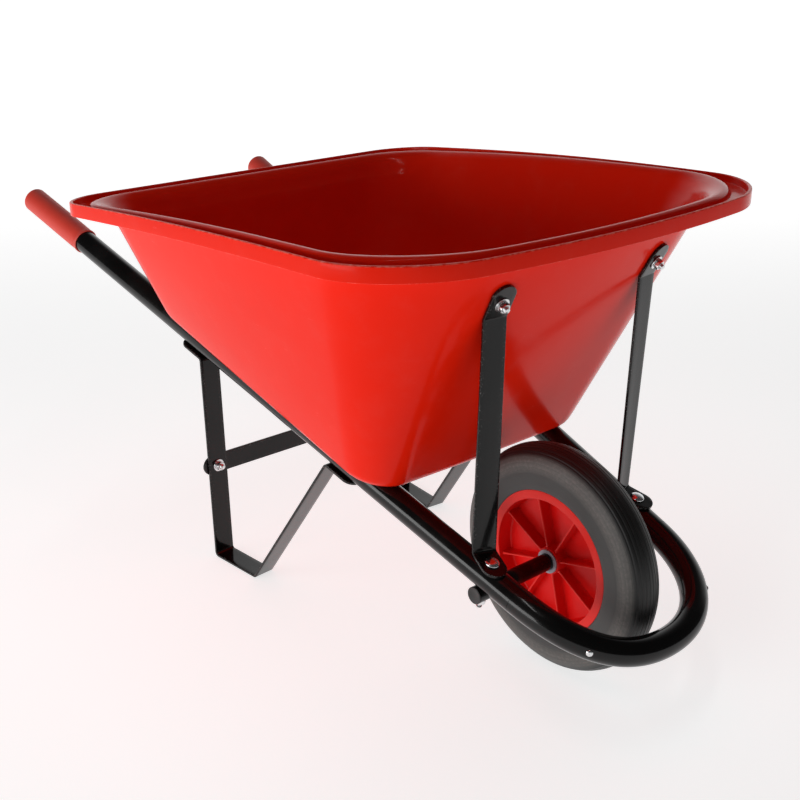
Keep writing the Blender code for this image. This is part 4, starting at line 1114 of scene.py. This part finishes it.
# %% Recipe three: one of these on every point
fix_recipe = Recipe("one on every point", Item="Object", Finish="Material")
aim = fix_recipe.node("GeometryNodeInputNamedAttribute", {"data_type": "FLOAT_VECTOR"}, {"Name": "aim"})
twist = fix_recipe.node("GeometryNodeInputNamedAttribute", {"data_type": "FLOAT"}, {"Name": "twist"})
turn = {"Vector": aim["Attribute"]}
turn = fix_recipe.node("FunctionNodeAlignRotationToVector", {"axis": "Z"}, turn)["Rotation"]
spun = fix_recipe.node("ShaderNodeCombineXYZ", {}, {"Z": twist["Attribute"]})["Vector"]
spun = fix_recipe.node("FunctionNodeEulerToRotation", {}, {"Euler": spun})["Rotation"]
local = {"Rotation": turn, "Rotate By": spun}
turn = fix_recipe.node("FunctionNodeRotateRotation", {"rotation_space": "LOCAL"}, local)["Rotation"]
item = fix_recipe.node("GeometryNodeObjectInfo", {}, {"Object": fix_recipe.given["Item"]})["Geometry"]
points = fix_recipe.node("GeometryNodeMeshToPoints", {}, {"Mesh": fix_recipe.given["Geometry"]})["Points"]
placed = {"Points": points, "Instance": item, "Rotation": turn}
fix_recipe.ends_with(fix_recipe.node("GeometryNodeInstanceOnPoints", {}, placed)["Instances"])


def fixings(name, item, spots, nodes, slot="zinc", sharp=40.0):
    """Put the item on each (place, direction) and let it stand for the named solid parts."""
    mesh = bpy.data.meshes.new("spots")
    mesh.from_pydata([tuple(p) for p, _ in spots], [], [])
    aims = np.array([tuple(Vector(a).normalized()) for _, a in spots], np.float32)
    mesh.attributes.new("aim", "FLOAT_VECTOR", "POINT").data.foreach_set("vector", aims.ravel())
    twists = np.random.default_rng(7).uniform(0.0, math.pi / 3.0, len(spots)).astype(np.float32)
    mesh.attributes.new("twist", "FLOAT", "POINT").data.foreach_set("value", twists)
    ob = fix_recipe.run(name, mesh, sharp, Item=item, Finish=zinc.material)
    bpy.data.objects.remove(item, do_unlink=True)
    return settle(ob, "frame", slot, *nodes)


# %% Draw a cup head with its shank
BOLT_R, HEAD_R, HEAD_H, NUT_FLATS = 0.004, 0.010, 0.005, 0.013


def cup_bolt(length):
    """A domed head whose flat sits on z = 0 and a threaded shank that runs along +Z."""
    profile = [(0.0006, -HEAD_H)]
    for k in range(1, 15):
        a = math.radians(90.0 * k / 14.0)
        profile.append((HEAD_R * math.sin(a) ** 0.86, -HEAD_H * (0.22 + 0.78 * math.cos(a) ** 0.95)))
    profile += [(HEAD_R, -0.0006), (HEAD_R - 0.0004, -GAP), (BOLT_R, -GAP)]
    pitch = 0.00125
    z = length - 0.016
    profile.append((BOLT_R, z))
    while z < length - 0.0015:
        profile += [(BOLT_R - 0.0001, z + pitch * 0.30), (BOLT_R - 0.0006, z + pitch * 0.62)]
        profile.append((BOLT_R, z + pitch))
        z += pitch
    profile += [(BOLT_R - 0.0008, z + 0.0006), (0.0008, z + 0.0006)]
    verts, faces = turned((0, 0, 0), (0, 0, 1), profile, 28)
    return piece("cup_bolt", verts, faces, zinc, 35.0)


# %% Draw a hexagon nut
def hexagon_nut():
    """A nut from z = 0 up, its corners cut back by a cone at both faces."""
    n = 48
    verts = []
    layers = [(0.0, 0.905), (0.0003, 0.945), (0.0010, 1.0)]
    layers += [(NUT_H - 0.0010, 1.0), (NUT_H - 0.0003, 0.945), (NUT_H, 0.905)]
    corner = NUT_FLATS / 2.0 / math.cos(math.pi / 6.0)
    for h, scale in layers:
        for j in range(n):
            a = 2.0 * math.pi * j / n
            r = NUT_FLATS / 2.0 / math.cos((a % (math.pi / 3.0)) - math.pi / 6.0)
            r = min(r, corner * scale) - 0.0002 * math.exp(-((corner - r) / 0.0003))
            verts.append((r * math.cos(a), r * math.sin(a), h))
    bore, mouth = BOLT_R + GAP, BOLT_R + 0.0009
    angles = [2 * math.pi * j / n for j in range(n)]
    for r, h in ((mouth, NUT_H), (bore, NUT_H - 0.0006), (bore, 0.0006), (mouth, 0.0)):
        verts.extend([(r * math.cos(a), r * math.sin(a), h) for a in angles])
    return piece("hexagon_nut", verts, joined_rings(10, n, True), zinc, 30.0)


# %% Draw a washer and a rivet
def flat_washer():
    corners = [(0.010, 0.0), (0.010, WASHER_T), (BOLT_R + GAP, WASHER_T), (BOLT_R + GAP, 0.0)]
    verts, faces = turned((0, 0, 0), (0, 0, 1), rounded_corners(corners, 0.0003, 3), 48, closed=True)
    return piece("flat_washer", verts, faces, zinc, 60.0)


def small_rivet():
    profile = [(0.0018, -0.0060), (0.0020, 0.0)]
    dome = [math.radians(a) for a in range(0, 85, 12)]
    profile += [(0.0046 * math.cos(a), 0.0022 * math.sin(a) + 0.0001) for a in dome]
    profile.append((0.0009, 0.0019))
    verts, faces = turned((0, 0, 0), (0, 0, 1), profile, 32)
    return piece("small_rivet", verts, faces, zinc, 50.0)


# %% Where every bolt and nut goes
nut_spots, nut_nodes, washer_spots, washer_nodes = [], [], [], []
tray_heads, axle_heads, stay_heads, brace_heads = [], [], [], []
for label, side in SIDES:
    for where, s in (("front", FRONT_S), ("rear", REAR_S)):
        tray_heads.append((on_tube(s, side, TUBE_R + GAP + SHELL_T), -UP_N))
        nut_spots.append((on_tube(s, side, -(TUBE_R + 2 * GAP + STRAP_T)), -UP_N))
        nut_nodes.append("tray_nut_" + where + "_" + label)
    axle_heads.append((on_tube(0.0, side, TUBE_R + GAP + STRAP_T), -UP_N))
    nut_spots.append((on_tube(0.0, side, -AXLE_DROP - AXLE_R - GAP), -UP_N))
    nut_nodes.append("axle_nut_" + label)
    for kind in ("stay", "brace"):
        nut_mid, washer_mid = middle(kind + "_nut_" + label), middle(kind + "_washer_" + label)
        toward = (nut_mid - washer_mid).normalized()
        nut_spots.append((nut_mid - toward * (NUT_H / 2.0), toward))
        nut_nodes.append(kind + "_nut_" + label)
        washer_spots.append((washer_mid - toward * (WASHER_T / 2.0), toward))
        washer_nodes.append(kind + "_washer_" + label)
    mid, normal = stay_tops[label]
    back = STRAP_T / 2.0 + GAP * 2 + 0.0005 + SHELL_T * 1.12
    stay_heads.append((mid - normal * back, normal))
    mid, normal, _ = brace_ends[label]
    brace_heads.append((mid - normal * (STRAP_T / 2.0), normal))
print("nuts:", len(nut_spots), "washers:", len(washer_spots))

# %% Put them all on
names = {}
for kind in ("axle_bolt", "stay_bolt", "brace_bolt"):
    names[kind] = [kind + "_" + label for label, _ in SIDES]
tray_bolt_nodes = ["tray_bolt_" + w + "_" + label for label, _ in SIDES for w in ("front", "rear")]
stack_h = 2 * TUBE_R + 2 * GAP + SHELL_T + STRAP_T
fixings("tray_cup_bolts", cup_bolt(stack_h + NUT_H + 0.0065), tray_heads, tray_bolt_nodes)
through = TUBE_R + GAP + STRAP_T + AXLE_DROP + AXLE_R
fixings("axle_cup_bolts", cup_bolt(through + NUT_H + 0.0085), axle_heads, names["axle_bolt"])
fixings("stay_cup_bolts", cup_bolt(0.0232), stay_heads, names["stay_bolt"])
brace_stack = STRAP_T * 2 + WASHER_T + NUT_H
fixings("brace_cup_bolts", cup_bolt(brace_stack + 0.0062), brace_heads, names["brace_bolt"])
fixings("hexagon_nuts", hexagon_nut(), nut_spots, nut_nodes)
fixings("flat_washers", flat_washer(), washer_spots, washer_nodes)

# %% Rivets in the loop
rivet_spots = []
bend = loop_point(0.5)
run = (loop_point(0.6) - loop_point(0.4)).normalized()
out = run.cross(Vector((0.0, 0.0, 1.0))).normalized()
for label, side in SIDES:
    away = Vector((abs(out.x), side * abs(out.y), 0.0)).normalized()
    here = Vector((bend.x, side * abs(bend.y), bend.z))
    rivet_spots.append((here + away * TUBE_R, away))
fixings("loop_rivets", small_rivet(), rivet_spots, ["loop_rivet_right", "loop_rivet_left"])

# %% [markdown]
# ## Floor, light and camera
# A pale floor that glows a little keeps the shadows light. One low soft light colours the near side,
# and a narrow strip overhead becomes a long clean highlight on the round tubes. The camera stands
# at the front corner, looks down a little and sees the barrow from the wheel's side.

# %% A plain pale floor
# The camera looks this way in plan: backdrop and floor grow brighter along it.
AWAY_X, AWAY_Y = -0.762, 0.647
floor_mesh = bpy.data.meshes.new("studio_floor")
SPAN = 60.0
corners = [(x * SPAN, y * SPAN, -0.0004) for x, y in ((-1, -1), (1, -1), (1, 1), (-1, 1))]
floor_mesh.from_pydata(corners, [], [(0, 1, 2, 3)])
floor = bpy.data.objects.new("studio_floor", floor_mesh)
bpy.context.collection.objects.link(floor)
paper = Finish("pale studio paper", IOR=1.3)
paper.shader.inputs["Base Color"].default_value = (0.60, 0.60, 0.60, 1.0)
paper.shader.inputs["Roughness"].default_value = 0.9
paper.shader.inputs["Emission Strength"].default_value = 1.0
spot = paper.node("ShaderNodeSeparateXYZ", {}, {0: paper.place})
behind = paper.ease(spot["Y"] * AWAY_Y + spot["X"] * AWAY_X, 0.7, 3.4)
ahead = paper.ease(spot["X"], 0.3, 1.8)
glow = paper.mix(behind, (0.72, 0.72, 0.72), (0.97, 0.97, 0.97))
glow = paper.mix(ahead, glow, (0.66, 0.66, 0.66))
paper.tree.links.new(glow.socket, paper.shader.inputs["Emission Color"])
floor_mesh.materials.append(paper.material)

# %% Soft lights
world = bpy.data.worlds.new("pale studio")
bpy.context.scene.world = world
world.use_nodes = True
sky = Bench(world.node_tree)
heading = sky.node("ShaderNodeSeparateXYZ", {}, {0: sky.node("ShaderNodeTexCoord")["Generated"]})
backdrop = sky.ease(heading["Y"] * AWAY_Y + heading["X"] * AWAY_X, 0.30, 0.75)
backdrop = backdrop * sky.ease(heading["Z"], 0.80, 0.35)
strength = backdrop * 0.95 + 0.05
world.node_tree.links.new(strength.socket, world.node_tree.nodes["Background"].inputs["Strength"])
world.node_tree.nodes["Background"].inputs["Color"].default_value = (1.0, 1.0, 1.0, 1.0)


def soft_light(name, place, aim, size, power, size_y=None):
    data = bpy.data.lights.new(name, "AREA")
    data.shape = "RECTANGLE"
    data.size, data.size_y = size, size_y or size
    data.energy = power
    lamp = bpy.data.objects.new(name, data)
    lamp.location = place
    lamp.rotation_euler = (Vector(aim) - Vector(place)).to_track_quat("-Z", "Y").to_euler()
    bpy.context.collection.objects.link(lamp)
    print(name, "at", place)
    return lamp


soft_light("low key light at the near side", (-0.45, -3.0, 0.58), (-0.05, 0.0, 0.35), 2.6, 46.0, 1.0)
soft_light("top strip", (0.4, -0.5, 3.0), (0.1, 0.0, 0.3), 0.20, 9.0, 2.4)

# %% Camera
sight = bpy.data.cameras.new("camera")
sight.lens = 54.68
sight.sensor_width = 36.0
sight.clip_start, sight.clip_end = 0.05, 60.0
camera = bpy.data.objects.new("camera", sight)
camera.location = (AXLE_X + 0.9864, -1.1262, 1.0024)
camera.rotation_euler = (math.radians(90.0 - 22.17), 0.0, math.radians(49.68))
bpy.context.collection.objects.link(camera)
bpy.context.scene.camera = camera
bpy.context.scene.view_settings.view_transform = "Standard"
